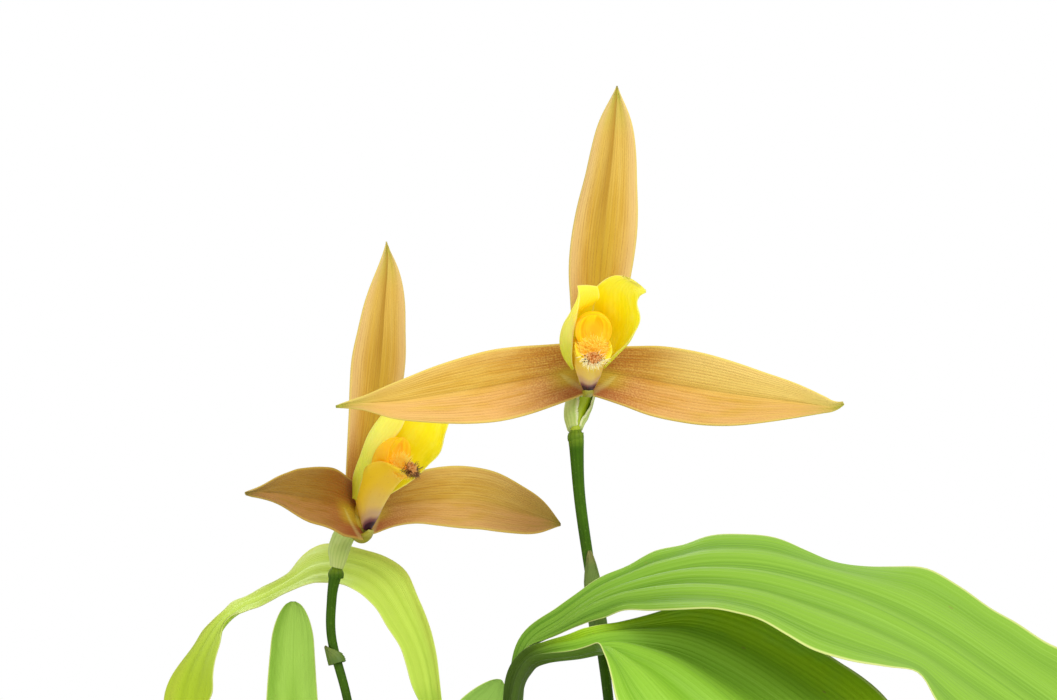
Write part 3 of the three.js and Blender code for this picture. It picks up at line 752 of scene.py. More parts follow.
@dataclass(frozen=True)
class ColumnFinish:
    """Orange column with a smooth yellow hollow, streaked from top to bottom, with painted shade at the
    hollow's sides and a faint painted glow.
    """

    name: str

    def material(self) -> bpy.types.Material:
        """Makes the material."""
        paint = Paint(self.name)
        u, t = paint.lay()
        clouds = paint.noise(paint.place(), 160, 3)
        inside = paint.level(t, 0.49, 0.72)
        reach = 1 - paint.level(t, 0.5, 1.0)
        across = paint.maths("COSINE", u * (2 * math.pi)) * reach
        upright = paint.maths("SINE", u * (2 * math.pi)) * reach
        body = paint.ramp(t, [(0.0, "#c9a22c"), (0.15, "#f0c014"), (0.4, "#fcb80e"), (0.5, "#ffa806")])
        streak = paint.noise(paint.vector(across * 5, upright * 0.7), 1.0, 3)
        hollow = paint.mix(paint.level(streak, 0.4, 0.62), "#ffd21c", "#f9b404")
        # Painted shade: deeper orange toward the hollow's left and right, where the hood turns from the
        # light.
        hollow = paint.mix(paint.level(abs(across), 0.45, 0.95) * 0.7, hollow, "#ff9a04")
        body = paint.mix(inside, body, hollow)
        body = paint.mix(paint.level(clouds, 0.4, 0.7) * 0.2, body, "#ffd048")
        body = paint.mix(paint.attribute("tone"), body, "#b79a26")
        # Painted light: a faint glow in the column's own colour stands in for light coming through it.
        return paint.done(body, 0.42 + clouds * 0.14, paint.bump(clouds, 0.05), Specular_IOR_Level=0.25,
                          Emission_Color=body, Emission_Strength=0.12, **TRANSLUCENT)


@dataclass(frozen=True)
class PlainFinish:
    """Finish of one ramp along the piece with clouds, specks and lengthwise streaks.

    Attributes:
        name: Name of the material.
        stops: Colours along the piece.
        cloud: Colour of the clouds, with their strength.
        speck: Colour of the specks, with their strength.
        streaks: Number of streaks round the piece.
        streak: Colour of the streaks, with their strength.
        edge: Colour of the two margins, with its strength.
        glow: How strongly it glows in its own colour, painted light that stands in for light coming through
            from behind.
        rough: Roughness.
        depth: Depth of the bumps in millimetres.
        fixed: Other values of the shader, with _ for a space.
    """

    name: str
    stops: Sequence[tuple[float, str]]
    cloud: tuple[str, float] = ("#ffffff", 0.0)
    speck: tuple[str, float] = ("#000000", 0.0)
    streaks: int = 20
    streak: tuple[str, float] = ("#000000", 0.0)
    edge: tuple[str, float] = ("#ffffff", 0.0)
    glow: float = 0.0
    rough: float = 0.45
    depth: float = 0.08
    fixed: dict = field(default_factory=dict)

    def material(self) -> bpy.types.Material:
        """Makes the material."""
        paint = Paint(self.name)
        u, t = paint.lay()
        place = paint.place()
        clouds = paint.noise(place, 180, 4)
        fine = paint.noise(place, 1500, 2)
        body = paint.ramp(t + (clouds - 0.5) * 0.06, self.stops)
        wave = paint.maths("COSINE", (u + (clouds - 0.5) * 0.02) * (2 * math.pi * self.streaks))
        body = paint.mix(paint.level(wave, -0.2, 0.9) * self.streak[1], body, self.streak[0])
        body = paint.mix(paint.level(clouds, 0.4, 0.7) * self.cloud[1], body, self.cloud[0])
        dots = 1 - paint.level(paint.cells(place, 900), 0.12, 0.26)
        body = paint.mix(dots * self.speck[1], body, self.speck[0])
        margin = paint.level(abs(u * 2 - 1) + (fine - 0.5) * 0.1, 0.9, 0.96)
        body = paint.mix(margin * self.edge[1], body, self.edge[0])
        height = wave * 0.25 + fine * 0.5
        # Painted light: the glow makes the piece shine in its own colour, though no lamp is there.
        return paint.done(body, self.rough - 0.08 + clouds * 0.16, paint.bump(height, self.depth),
                          Emission_Color=body, Emission_Strength=self.glow, **self.fixed)


@dataclass(frozen=True)
class LeafFinish:
    """Pleated leaf with parallel veins, a cream edge and painted shade in its pleats.

    Attributes:
        name: Name of the material.
        light: Colour of the ridges.
        dark: Colour of the valleys, where the pleats' shade is painted, and of the midrib and the darker
            base.
        under: Colour of the under side.
        stalk: Colour of the stalk.
        blush: Colour near one edge, with its strength.
        blush_side: Edge that it is on, 1 or -1.
        pleats: Pleats across the blade.
        stalk_part: Part of the leaf that is stalk.
        contrast: Strength of the painted shade in the valleys.
        vein: Colour of the fine veins.
        tip: Colour toward the tip, with its strength.
        core: Colour along the middle toward the base, with its strength.
        glow: How strongly it glows in its own colour, painted light that stands in for light coming through
            from behind.
    """

    name: str
    light: str
    dark: str
    under: str
    stalk: str
    blush: tuple[str, float] = ("#c9a040", 0.0)
    blush_side: int = 1
    pleats: int = 4
    stalk_part: float = 0.24
    contrast: float = 0.7
    vein: str = "#b4d66a"
    tip: tuple[str, float] = ("#b0c80e", 0.0)
    core: tuple[str, float] = ("#6f9e08", 0.0)
    glow: float = 0.04

    def material(self) -> bpy.types.Material:
        """Makes the material."""
        paint = Paint(self.name)
        u, t = paint.lay()
        v = u * 2 - 1
        off = abs(v)
        wander = paint.noise(paint.vector(u * 2.5, t * 3), 1.5, 2) - 0.5
        wide = v + wander * 0.05
        wave = paint.maths("COSINE", wide * (math.pi * self.pleats))
        broad = paint.noise(paint.vector(u * 14, t * 0.8), 1.0, 3, 0.6)
        fine = paint.maths("COSINE", (u + wander * 0.012) * (2 * math.pi * 38))
        strand = paint.noise(paint.vector(u * 110, t * 2.5), 1.0, 2)
        mesh = paint.noise(paint.vector(u * 90, t * 160), 1.0, 2)
        clouds = paint.noise(paint.vector(u * 4, t * 7), 1.2, 4)
        lines = paint.noise(paint.vector(u * 62, t * 1.2), 1.0, 4, 0.65)
        # Painted shade: darker green in the valleys of the pleats and in their creases, fading toward the
        # tip, mixed with the leaf's own darker lines.
        pleat_shade = paint.level(wave * -0.3 + broad * 0.9 + lines, 0.78, 1.25) * paint.level(1 - off, 0.0, 0.2)
        far = paint.level(t, 0.4, 0.75)
        pleat_shade = pleat_shade * (1 - far * 0.5)
        body = paint.mix(pleat_shade * self.contrast, self.light, self.dark)
        crease_shade = paint.level(wave * -1, 0.93, 1.0) * paint.level(t, 0.12, 0.3) * (1 - far * 0.6)
        body = paint.mix(crease_shade * 0.4 * self.contrast, body, self.dark)
        rib = 1 - paint.level(abs(v + wander * 0.02), 0.0, 0.02)
        body = paint.mix(rib * 0.5, body, self.dark)
        body = paint.mix(paint.level(strand, 0.5, 0.68) * 0.3, body, self.vein)
        body = paint.mix(paint.level(fine, 0.6, 1.0) * 0.14, body, self.vein)
        body = paint.mix(paint.level(clouds, 0.4, 0.72) * 0.22, body, self.light)
        body = paint.mix((1 - paint.level(t, 0.2, 0.55)) * 0.3, body, self.dark)
        body = paint.mix(paint.level(t, 0.6, 0.85) * self.tip[1], body, self.tip[0])
        middle = (1 - paint.level(off, 0.05, 0.55)) * (1 - paint.level(t, 0.55, 0.9))
        body = paint.mix(middle * self.core[1], body, self.core[0])
        blush = paint.level(v * self.blush_side, 0.3, 0.9) * paint.level(clouds, 0.25, 0.55)
        body = paint.mix(blush * self.blush[1], body, self.blush[0])
        body = paint.mix((1 - paint.attribute("upper")) * 0.85, body, self.under)
        stalk = 1 - paint.level(t, self.stalk_part * 0.75, self.stalk_part * 1.2)
        body = paint.mix(stalk, body, self.stalk)
        margin = paint.level(off, 0.965, 0.992) * paint.level(t, self.stalk_part * 0.9, self.stalk_part * 1.4)
        body = paint.mix(margin * 0.7, body, "#e0e290")
        marks = paint.cells(paint.vector(u * 7, t * 15), 1.0)
        body = paint.mix((1 - paint.level(marks, 0.03, 0.055)) * 0.55, body, "#8a7a3a")
        height = fine * 0.15 + strand * 0.3 + mesh * 0.3 + lines * 0.8
        rough = 0.42 + clouds * 0.2
        # Painted light: the glow makes the leaf shine in its own colour, though no lamp is there.
        return paint.done(body, rough, paint.bump(height, 0.16), Specular_IOR_Level=0.25,
                          Emission_Color=body, Emission_Strength=self.glow)


@dataclass(frozen=True)
class ClayFinish:
    """Unglazed clay with lime bloom, damp patches and turning lines."""

    name: str

    def material(self) -> bpy.types.Material:
        """Makes the material."""
        paint = Paint(self.name)
        _, t = paint.lay()
        place = paint.place()
        broad = paint.noise(place, 28, 4)
        grit = paint.noise(place, 900, 3)
        body = paint.ramp(broad, [(0.25, "#a5532f"), (0.5, "#bd6a42"), (0.75, "#cb7f55")])
        bloom = paint.level(paint.noise(place, 60, 5, 0.65), 0.52, 0.72)
        body = paint.mix(bloom * 0.4, body, "#dcb59a")
        body = paint.mix(paint.level(grit, 0.58, 0.75) * 0.35, body, "#8a4426")
        turning = paint.noise(paint.vector(0.0, t * 260), 1.0, 2)
        height = grit * 0.5 + turning * 0.5
        return paint.done(body, 0.82 + broad * 0.12, paint.bump(height, 0.25), Specular_IOR_Level=0.25)


@dataclass(frozen=True)
class BarkFinish:
    """Bark chips, each of its own brown."""

    name: str

    def material(self) -> bpy.types.Material:
        """Makes the material."""
        paint = Paint(self.name)
        place = paint.place()
        tone = paint.attribute("tone")
        body = paint.ramp(tone, [
            (0.0, "#3a2416"), (0.3, "#5a3a24"), (0.6, "#7b5233"), (0.85, "#94683f"), (1.0, "#6a4a34"),
        ])
        layers = paint.noise(place, 420, 5, 0.7)
        body = paint.mix(paint.level(layers, 0.35, 0.7) * 0.6, body, "#2b1a10")
        body = paint.mix(paint.level(paint.noise(place, 160, 3), 0.58, 0.75) * 0.35, body, "#b08a62")
        return paint.done(body, 0.9, paint.bump(layers, 0.6), Specular_IOR_Level=0.2)


@dataclass(frozen=True)
class StudioFinish:
    """Plain pale paper of the floor."""

    name: str

    def material(self) -> bpy.types.Material:
        """Makes the material."""
        paint = Paint(self.name)
        clouds = paint.noise(paint.place(), 3, 2)
        body = paint.mix(clouds * 0.2, "#f4f4f2", "#eeeeec")
        return paint.done(body, 0.9, None)


class Finish(Protocol):
    """Anything with a name that makes a material."""

    name: str

    def material(self) -> bpy.types.Material:
        """Makes the material."""


FINISHES: dict[str, bpy.types.Material] = {}


def dress(piece: bpy.types.Object, finish: Finish, nodes: Sequence[str]) -> bpy.types.Object:
    """Gives a piece its finish and its place in the frame.

    Args:
        piece: The piece.
        finish: Its finish, made once for all the pieces that share it.
        nodes: Solids that the piece stands for.

    Returns:
        The piece.
    """
    if finish.name not in FINISHES:
        FINISHES[finish.name] = finish.material()
    piece.data.materials.append(FINISHES[finish.name])
    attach(piece, "root")
    if nodes:
        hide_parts(*nodes)
    LOG.info("%s: %d faces", piece.name, len(piece.data.polygons))
    return piece


# The flowers


SEPAL_SEAT = 3.5
DORSAL_START = (0.7, 1.3, SEPAL_SEAT)
RIGHT_START = (SEPAL_SEAT, -0.6, 1.8)
LEFT_START = (-SEPAL_SEAT, -0.6, 2.5)


@dataclass(frozen=True)
class Sepal:
    """A sepal by its length and the course of its middle line.

    Attributes:
        length: Length along the middle line.
        start: Start of the middle line in the flower.
        course: Direction round the flower from its right-hand side, in degrees, along the sepal.
        lean: How far it comes forward, in degrees, along the sepal.
        half: Distance to each edge, measured on the surface.
        cup: How far the edges turn up, in degrees.
        fold: Slope of the two halves, in degrees.
        roll: Turn about the middle line, in degrees.
        flush: The pinker half.
        painted_shade: How much darker and browner it is painted, at its base and at its tip: mostly painted
            shade on a sepal turned away from the light.
        painted_light: How much lighter its other half is painted, as painted light where the lamp falls on it
            more.
        plus: How far the v = 1 edge stands out past its half width, along the sepal.
        minus: How far the v = -1 edge stands out past its half width, along the sepal.
        hook: Turn of its point, in degrees.
    """

    length: float
    start: Sequence[float]
    course: Values
    lean: Values
    half: Values
    cup: Values
    fold: Values
    roll: Values = (0.0,)
    flush: Flush = Flush.NONE
    painted_shade: tuple[float, float] = (0.0, 0.0)
    painted_light: float = 0.0
    plus: Values = (0.0,)
    minus: Values = (0.0,)
    hook: float = 0.0

    def blade(self) -> Blade:
        """The sepal's blade, which runs on into the middle of the flower."""
        steps = 36
        point = 0.07
        place = np.array(self.start, float)
        middle = [place.copy()]
        for i in range(steps):
            t = (i + 0.5) / steps
            hooked = max(0.0, (t - 1 + point) / point)
            turn = math.radians(float(along(self.course, t)) + self.hook * hooked)
            lean = math.radians(float(along(self.lean, t)))
            way = (math.cos(turn) * math.cos(lean), -math.sin(lean), math.sin(turn) * math.cos(lean))
            place = place + np.array(way) * self.length / steps
            middle.append(place.copy())

        def relief(t: np.ndarray, v: np.ndarray) -> np.ndarray:
            """Middle groove and slow waves of the two edges."""
            groove = -0.2 * np.exp(-((v / 0.09) ** 2)) * np.sin(math.pi * np.clip(t, 0, 1)) ** 0.5
            wave = 0.35 * np.abs(v) ** 3 * np.sin(9 * t + np.sign(v)) * np.sin(math.pi * np.clip(t, 0, 1))
            return groove + wave

        return Blade(
            middle=middle, face=[OUTWARD], half=self.half, cup=self.cup, fold=self.fold, roll=self.roll,
            relief=relief, first=-0.07, plus=self.plus, minus=self.minus,
        )


CUPPED = (10, 10, 10, 20)
FOLDED = (0, 8, 8, 12)
DORSAL_CUP = (-10, 0, 0, 15)
DORSAL_FOLD = (0, -8, -8, 5)

FRONT_SEPALS = {
    "dorsal": Sepal(
        68.1, DORSAL_START, (83.4, 84.6, 85.4, 84, 83.7, 85.9, 88.8), (12, 15, 15),
        (4.2, 5.4, 6.5, 7.5, 7.8, 7.4, 6.4, 5.2, 3.5, 0.3), DORSAL_CUP, DORSAL_FOLD,
        plus=(0, 0, 0, 0.2, 0.1, 0.2, -0.4), minus=(0, 0, 0, -0.3, -0.4, 0.1, -0.3),
    ),
    "left": Sepal(
        58.5, LEFT_START, (193.6, 191.1, 190.3, 188.5, 188.4, 183.1, 189.9), (8, 14, 18),
        (6.6, 7.5, 8.3, 8.6, 8.1, 7.1, 5.7, 4, 1.7, 0.3), CUPPED, FOLDED, flush=Flush.MINUS,
    ),
    "right": Sepal(
        58.8, RIGHT_START, (-7.2, -10, -9.7, -8.9, -6.6, -7.6, -7.8), (8, 14, 18),
        (6.2, 7.3, 8.4, 8.7, 8.5, 7.6, 6.1, 4.4, 2.4, 0.3), CUPPED, FOLDED, flush=Flush.PLUS, painted_light=0.5,
        minus=(0, 0.1, 0, -0.2, 0, 0.4, 0.3), hook=35,
    ),
}
TURNED_SEPALS = {
    "dorsal": Sepal(
        67.7, (2.2, 2, SEPAL_SEAT), (69, 74.8, 81.4, 86.9, 89.6, 88.1, 100.8), (12, 24, 22, 22),
        (3.3, 4.4, 5.5, 6.5, 7.3, 7.5, 6.6, 5.4, 3.4, 0.3), DORSAL_CUP, DORSAL_FOLD, roll=(-20,),
        painted_shade=(0.18, 0.05), plus=(0, 0, 0.1, 0.2, 0.3, 0.3, -0.7), minus=(0, 0, 0.1, 0.1, 0, 0, -0.3),
    ),
    "left": Sepal(
        56.7, LEFT_START, (164.5, 172.5, 178.1, 177.6, 181.7, 185, 184.7), (10, 18, 22),
        (7.6, 8.5, 8.1, 7.6, 6.9, 5.4, 3.9, 2.5, 1.3, 0.3), CUPPED, FOLDED, flush=Flush.MINUS,
        painted_shade=(0.7, 0.72), plus=(0.4, 0.3, -0.1, -0.3, -0.3, -0.4, 0), minus=(0, 0, 0, 0, -0.5, -0.1, 0.3),
    ),
    "right": Sepal(
        58.3, RIGHT_START, (12.5, 2.9, -4.8, -9.4, -24.2, -25.1, -29.1), (10, 18, 20),
        (5.9, 6, 6.5, 7.6, 8.3, 8.5, 8.4, 6.8, 4.5, 0.3), CUPPED, FOLDED, flush=Flush.PLUS, painted_shade=(0.0, 0.7),
        plus=(-0.2, -0.3, -0.3, 0, 0.3, 0.8, 0.2),
    ),
}

FRONT_PETALS = {
    "left": Panel(
        inner=[
            (-1.2, -2, 4), (-0.4, -5.5, 9.4), (0.4, -8.6, 14.2), (1.2, -11.6, 17.4), (2, -14.4, 19),
            (2.3, -16.8, 20.4), (1.9, -18.6, 22),
        ],
        middle=[
            (-3.6, -3.2, 3.2), (-5.6, -7.5, 6.4), (-6.4, -11, 9.8), (-5.6, -14, 13.4), (-3.6, -16.4, 16.6),
            (-1.8, -18, 19.6), (-0.6, -19.6, 22.3),
        ],
        outer=[
            (-3.4, -4.6, 2.6), (-4, -10.5, 5.2), (-3.8, -14.4, 8.4), (-3.6, -16.5, 12), (-2.7, -18, 16),
            (-2.4, -19.2, 19), (-2.9, -20.4, 22.2),
        ],
        mirrored=True,
    ),
    "right": Panel(
        inner=[
            (1.2, -2, 4), (0.6, -5, 9.6), (0.2, -8, 14.6), (0.4, -11.5, 18.6), (1.8, -15.5, 22.2),
            (6.6, -18.5, 24.6), (12.9, -20.6, 21.3),
        ],
        middle=[
            (3.4, -3.2, 3.2), (6, -8, 6.8), (8, -12.5, 11.4), (8.6, -15.5, 16.2), (8.2, -17.6, 20.6),
            (9.8, -19.6, 22.9), (13.1, -21, 21),
        ],
        outer=[
            (3.6, -4.6, 3), (6, -10.5, 6.3), (9.6, -15, 9.4), (11.5, -17.6, 13.6), (11.2, -19, 17.4),
            (11.6, -20.2, 19.6), (13.1, -21.3, 20.6),
        ],
    ),
}
TURNED_PETALS = {
    "left": Panel(
        inner=[
            (-2.2, -2, 4.6), (-2.4, -4, 9.5), (-1.4, -6.5, 14), (-0.4, -9.5, 18), (0.8, -13, 21.5),
            (2.4, -17, 24.4), (4, -21.5, 25.6),
        ],
        middle=[
            (-3.4, -2.5, 5), (-3.8, -5, 10), (-3, -8.5, 14.3), (-2.3, -12, 18), (-0.4, -15.5, 21.5),
            (1.6, -18.5, 24), (3.5, -22, 25),
        ],
        outer=[
            (-3.4, -3.6, 4), (-4.2, -7.5, 8.5), (-2, -12, 12.5), (-0.5, -15.5, 15), (1.2, -19, 18),
            (1.4, -22, 21), (2.2, -24, 23),
        ],
        mirrored=True,
    ),
    "right": Panel(
        inner=[
            (1.4, -2, 4.4), (1.6, -5.5, 10.5), (1.8, -9.5, 15.5), (2.6, -13, 19), (3.6, -17, 22),
            (6, -21, 24), (13, -24.4, 25),
        ],
        middle=[
            (3.4, -3.4, 4), (6.4, -10, 8.6), (8.4, -15.5, 12), (9.4, -19, 14.8), (10.6, -21.5, 18),
            (11.4, -23.5, 21), (13.8, -25.4, 23.6),
        ],
        outer=[
            (3.4, -4.6, 3.4), (6, -13, 5.6), (8.2, -18.5, 8), (9.4, -21.5, 10.2), (10.6, -23.5, 13.4),
            (12, -25, 17), (13.8, -26, 22),
        ],
    ),
}
FRONT_LIP = Blade(
    middle=[
        (0, -4.4, -2.4), (0, -7, -1), (0, -10.4, 1), (0, -14, 3.1), (0, -17.2, 4.3), (0, -19.2, 4.5),
        (0, -20.3, 4.2),
    ],
    face=[(0, 0.5, 0.85), (0, 0.45, 0.9), (0, 0.3, 0.95), (0, -0.6, 0.8)],
    half=(1.6, 3.8, 6.4, 7.4, 7.1, 6.2, 4.7, 3, 0.8),
    cup=(80, 100, 110, 112, 106, 90, 45, 10, 0),
    fold=(0, 22, 36, 24, 12, 2, 0),
    thickness=0.9,
)
TURNED_LIP = replace(
    FRONT_LIP,
    fold=(0, 10, 22, 22, 12, 2, 0),
    middle=[
        (0, -1.8, -3), (0, -4.6, -1), (0, -8.4, 1.5), (0, -12.6, 3.6), (0, -16.4, 4.8), (0, -19, 4.9),
        (0, -20.3, 4.4),
    ],
)

# Rings of the column's hollow: size as a part of its front end, and how far each stands out.
COLUMN_HOLLOW = (
    (0.99, 0.08), (0.965, 0.1), (0.93, 0.05), (0.86, -0.15), (0.76, -0.5), (0.64, -0.9), (0.5, -1.25),
    (0.36, -1.45), (0.22, -1.55), (0.08, -1.6),
)
TONGUE_WARTS = 110
TONGUE_RADIUS = 1.3
DOWN_SHARE = 2.6
FRINGE_SHARE = 0.65


class FlowerSide(Enum):
    """Which of the two flowers."""

    FRONT = "front"
    TURNED = "turned"


@dataclass
class Flower:
    """One flower: sepals, petals, column and a hairy lip.

    Attributes:
        side: Which flower.
        centre: Place of its centre.
        turn: How far it looks to its right, in degrees.
        tilt: How far it looks up, in degrees.
        sepals: Its three sepals.
        petals: Its two petals.
        lip: Its lip.
        hair_code: Colour of the hairs' tips.
        lean: How far the lip and column move to the flower's left for each millimetre forward.
        lift: How far the lip rises for each millimetre forward.
        hairs: Number that its hairs are shares of.
    """

    side: FlowerSide
    centre: Sequence[float]
    turn: float
    tilt: float
    sepals: dict[str, Sepal]
    petals: dict[str, Panel]
    lip: Blade
    hair_code: str
    lean: float = 0.0
    lift: float = 0.0
    hairs: int = 300

    def place(self, points: np.ndarray) -> np.ndarray:
        """Points of the flower's own space at their place in the plant."""
        points = np.array(points, float)
        tilt, turn = math.radians(self.tilt), math.radians(self.turn)
        x, y, z = points[..., 0], points[..., 1], points[..., 2]
        y, z = y * math.cos(tilt) + z * math.sin(tilt), -y * math.sin(tilt) + z * math.cos(tilt)
        x, y = x * math.cos(turn) - y * math.sin(turn), x * math.sin(turn) + y * math.cos(turn)
        return np.stack([x, y, z], axis=-1) + np.array(self.centre, float)

    def name(self, part: str) -> str:
        """Node name of one of its parts."""
        return f"{self.side.value}_{part}"

    def leant(self, points: np.ndarray, lift: float) -> np.ndarray:
        """Points of the lip or column, which lean a little to one side as they come forward."""
        forward = np.clip(-points[..., 1] - 4, 0, None)
        return np.stack(
            [points[..., 0] + self.lean * forward, points[..., 1], points[..., 2] + lift * forward], axis=-1
        )

    def add(self, part: str, lofts: Sequence[Loft], finish: Finish, slot: str, stands: bool = True) -> None:
        """Makes and dresses one part from skins in the flower's own space.

        Args:
            part: Name of the part.
            lofts: Its closed skins.
            finish: Its finish.
            slot: Kind of part: a lip or a column leans, and a lip also rises.
            stands: Whether it stands for the solid of that name.
        """
        if slot in ("lip", "column"):
            lift = self.lift if slot == "lip" else 0.0
            lofts = [loft.moved(lambda points: self.leant(points, lift)) for loft in lofts]
        piece = skin(self.name(part) + "_skin", [loft.moved(self.place) for loft in lofts])
        dress(piece, finish, [self.name(part)] if stands else [])

    def build(self) -> None:
        """Makes every part of the flower."""
        for part, sepal in self.sepals.items():
            finish = SepalFinish(f"{self.side.value} {part} sepal", sepal.flush, sepal.painted_shade, sepal.painted_light)
            self.add(f"{part}_sepal", [sepal.blade().loft(110, 44)], finish, "sepal")
        for part, petal in self.petals.items():
            self.add(f"{part}_petal", [petal.loft(90, 48)], PetalFinish("petal"), "petal")
        self.add("lip", [self.lip.loft(90, 48)], LipFinish("lip"), "lip")
        self.add("column", self.column(), ColumnFinish("column"), "column")
        self.add("column_foot", self.chin(), self.chin_finish(), "column", stands=False)
        self.add("lip_tongue", self.tongue(), self.tongue_finish(), "lip", stands=False)
        self.add("lip_down", self.down(), self.down_finish(), "lip", stands=False)
        self.add("lip_hairs", self.fringe(), self.hair_finish(), "lip", stands=False)

    @staticmethod
    def column() -> list[Loft]:
        """Receptacle and arched column, hollowed at its front end."""
        receptacle = Shaft([(0, 1.7, 0), (0, -1.8, 0)], (2.8, 2.7), face=(0, 0, 1)).loft(12, 32, 0.4)
        arch = Shaft(
            middle=[
                (0, 0, 0.6), (0, -4.5, 4.8), (0, -9, 9.6), (0, -13, 12.3), (0, -15.6, 12.4),
                (0, -17.2, 11.6),
            ],
            radius=(2.1, 2.4, 2.9, 3.5, 4.1, 4.3),
            flat=(0.9, 0.85, 0.85, 0.95, 1.05),
            face=(0, -0.6, 0.8),
        ).loft(50, 56)
        return [replace(receptacle, tone=1.0), Flower.hollowed(arch)]

    @staticmethod
    def hollowed(loft: Loft) -> Loft:
        """The column with a rounded rim and a shallow hollow at its front end."""
        centre = loft.points[-1].mean(axis=0)
        ahead = unit(centre - loft.points[-2].mean(axis=0))
        rings = [centre + (loft.points[-1] - centre) * size + ahead * depth for size, depth in COLUMN_HOLLOW]
        inside = np.linspace(1, 2, len(rings) + 1)[1:]
        return replace(
            loft, points=np.concatenate([loft.points, np.array(rings)]),
            lengthwise=np.concatenate([loft.lengthwise, inside]) / 2,
        )

    def chin(self) -> list[Loft]:
        """Foot of the column under the lip, deeper in the flower that shows its side."""
        cup = Blade(
            middle=[(0, 1.2, -2), (0, -0.4, -3.4), (0, -2.2, -3.7), (0, -4, -3.2), (0, -5.2, -2.4)],
            face=[(0, -0.6, 0.8), (0, 0, 1), (0, 0.4, 0.9)],
            half=(1.8, 2, 1.9, 1.5, 0.8),
            cup=(70, 95, 100, 90, 60),
            thickness=0.7,
        )
        if self.side is FlowerSide.TURNED:
            cup = replace(
                cup, half=(2.4, 3, 3.1, 2.5, 1),
                middle=[(0, 3.4, -2.4), (0, 2.6, -4.4), (0, 0.8, -5.5), (0, -1.4, -5), (0, -2.9, -3.5)],
            )
        back = Shaft([(0, 0.9, -0.6), (0, 0.6, -2.3), (0, -0.8, -3.4)], (2.6, 2.1, 1.1))
        return [cup.loft(40, 40), back.loft(16, 28, 0.3)]

    @staticmethod
    def chin_finish() -> PlainFinish:
        """Olive foot, brown where it starts and pale at its front."""
        return PlainFinish(
            "column foot",
            [(0.0, "#86601a"), (0.3, "#8c7c12"), (0.7, "#948c12"), (0.92, "#a69e22"), (1.0, "#bcb850")],
            cloud=("#aca430", 0.3), depth=0.05,
        )

    @staticmethod
    def tongue() -> list[Loft]:
        """Warty tongue of the lip's middle lobe."""
        random = np.random.default_rng(5)
        middle = [(-0.3, -16.5, 6), (-0.3, -18.8, 5.7), (-0.3, -20.3, 5)]
        body = Shaft(middle, (0.8, 0.9, 0.5), flat=(0.9,), face=(0, 0, 1))
        lofts = [body.loft(24, 28, 0.3)]
        for _ in range(int(TONGUE_WARTS * COARSE)):
            angle = random.uniform(0, 2 * math.pi)
            reach = TONGUE_RADIUS * math.sqrt(random.uniform(0, 1))
            across, rise = reach * math.cos(angle), reach * math.sin(angle)
            root = np.array([across - 0.3, -20.5 + 0.4 * reach, 5.2 + rise])
            out = unit(np.array([0.5 * across, -1, 0.5 * rise]))
            size = random.uniform(0.16, 0.3)
            end = root + out * size * 3.5
            wart = Shaft([root, (root + end) / 2, end], (size, size * 0.9, size * 0.6), face=(0, 0, 1))
            lofts.append(wart.loft(5, 8, 0.4))
        return lofts

    @staticmethod
    def tongue_finish() -> PlainFinish:
        """Orange tongue, paler at the ends of its warts."""
        return PlainFinish(
            "lip tongue", [(0.0, "#e08420"), (0.5, "#ee9a30"), (1.0, "#fac074")], cloud=("#d06a30", 0.25),
            # Its glow is painted light that lifts the tongue out of the lip's shade.
            glow=0.14, depth=0.08,
        )

    @staticmethod
    def hair(
        random: np.random.Generator, root: np.ndarray, out: np.ndarray, length: float, thick: float
    ) -> Loft:
        """One curved hair.

        Args:
            random: Source of its bend.
            root: Where it grows.
            out: Its direction.
            length: Its length.
            thick: Radius at its root.

        Returns:
            Its skin.
        """
        bend = 0.22 * length * random.normal(size=3)
        points = [root, root + out * length * 0.5 + bend * 0.3, root + out * length + bend]
        return Shaft(points, (thick, thick * 0.85, thick * 0.35), face=(0.1, 0.2, 1)).loft(5, 6)

    def down(self) -> list[Loft]:
        """Short down that covers the crest of the lip."""
        random = np.random.default_rng(21 if self.side is FlowerSide.FRONT else 22)
        middle = [(0, -14, 6.4), (0, -16.4, 7), (0, -17.8, 7.2)]
        crest = Shaft(middle, (2, 2.5, 1.9), flat=(0.85,), face=(0, 0, 1))
        lofts = [crest.loft(20, 28, 0.4)]
        for _ in range(int(DOWN_SHARE * self.hairs * COARSE)):
            angle = random.uniform(0, 2 * math.pi)
            reach = math.sqrt(random.uniform(0, 1))
            across, rise = 2.9 * reach * math.cos(angle), 2.5 * reach * math.sin(angle)
            root = np.array([across - 0.2, -18.2 + 1.6 * reach**2, 7 + rise])
            out = unit(np.array([0.5 * across, -1, 0.5 * rise + 0.2]) + 0.4 * random.normal(size=3))
            lofts.append(self.hair(random, root, out, random.uniform(0.8, 1.9), random.uniform(0.05, 0.08)))
        return lofts

    @staticmethod
    def down_finish() -> PlainFinish:
        """Yellow down, deeper in colour toward its roots."""
        return PlainFinish(
            "lip down", [(0.0, "#fab408"), (0.4, "#ffcc20"), (1.0, "#ffec74")], cloud=("#ffdc38", 0.4),
            # Its glow is painted light that brightens the down where the flower shades it.
            glow=0.12, rough=0.6, depth=0.02,
        )

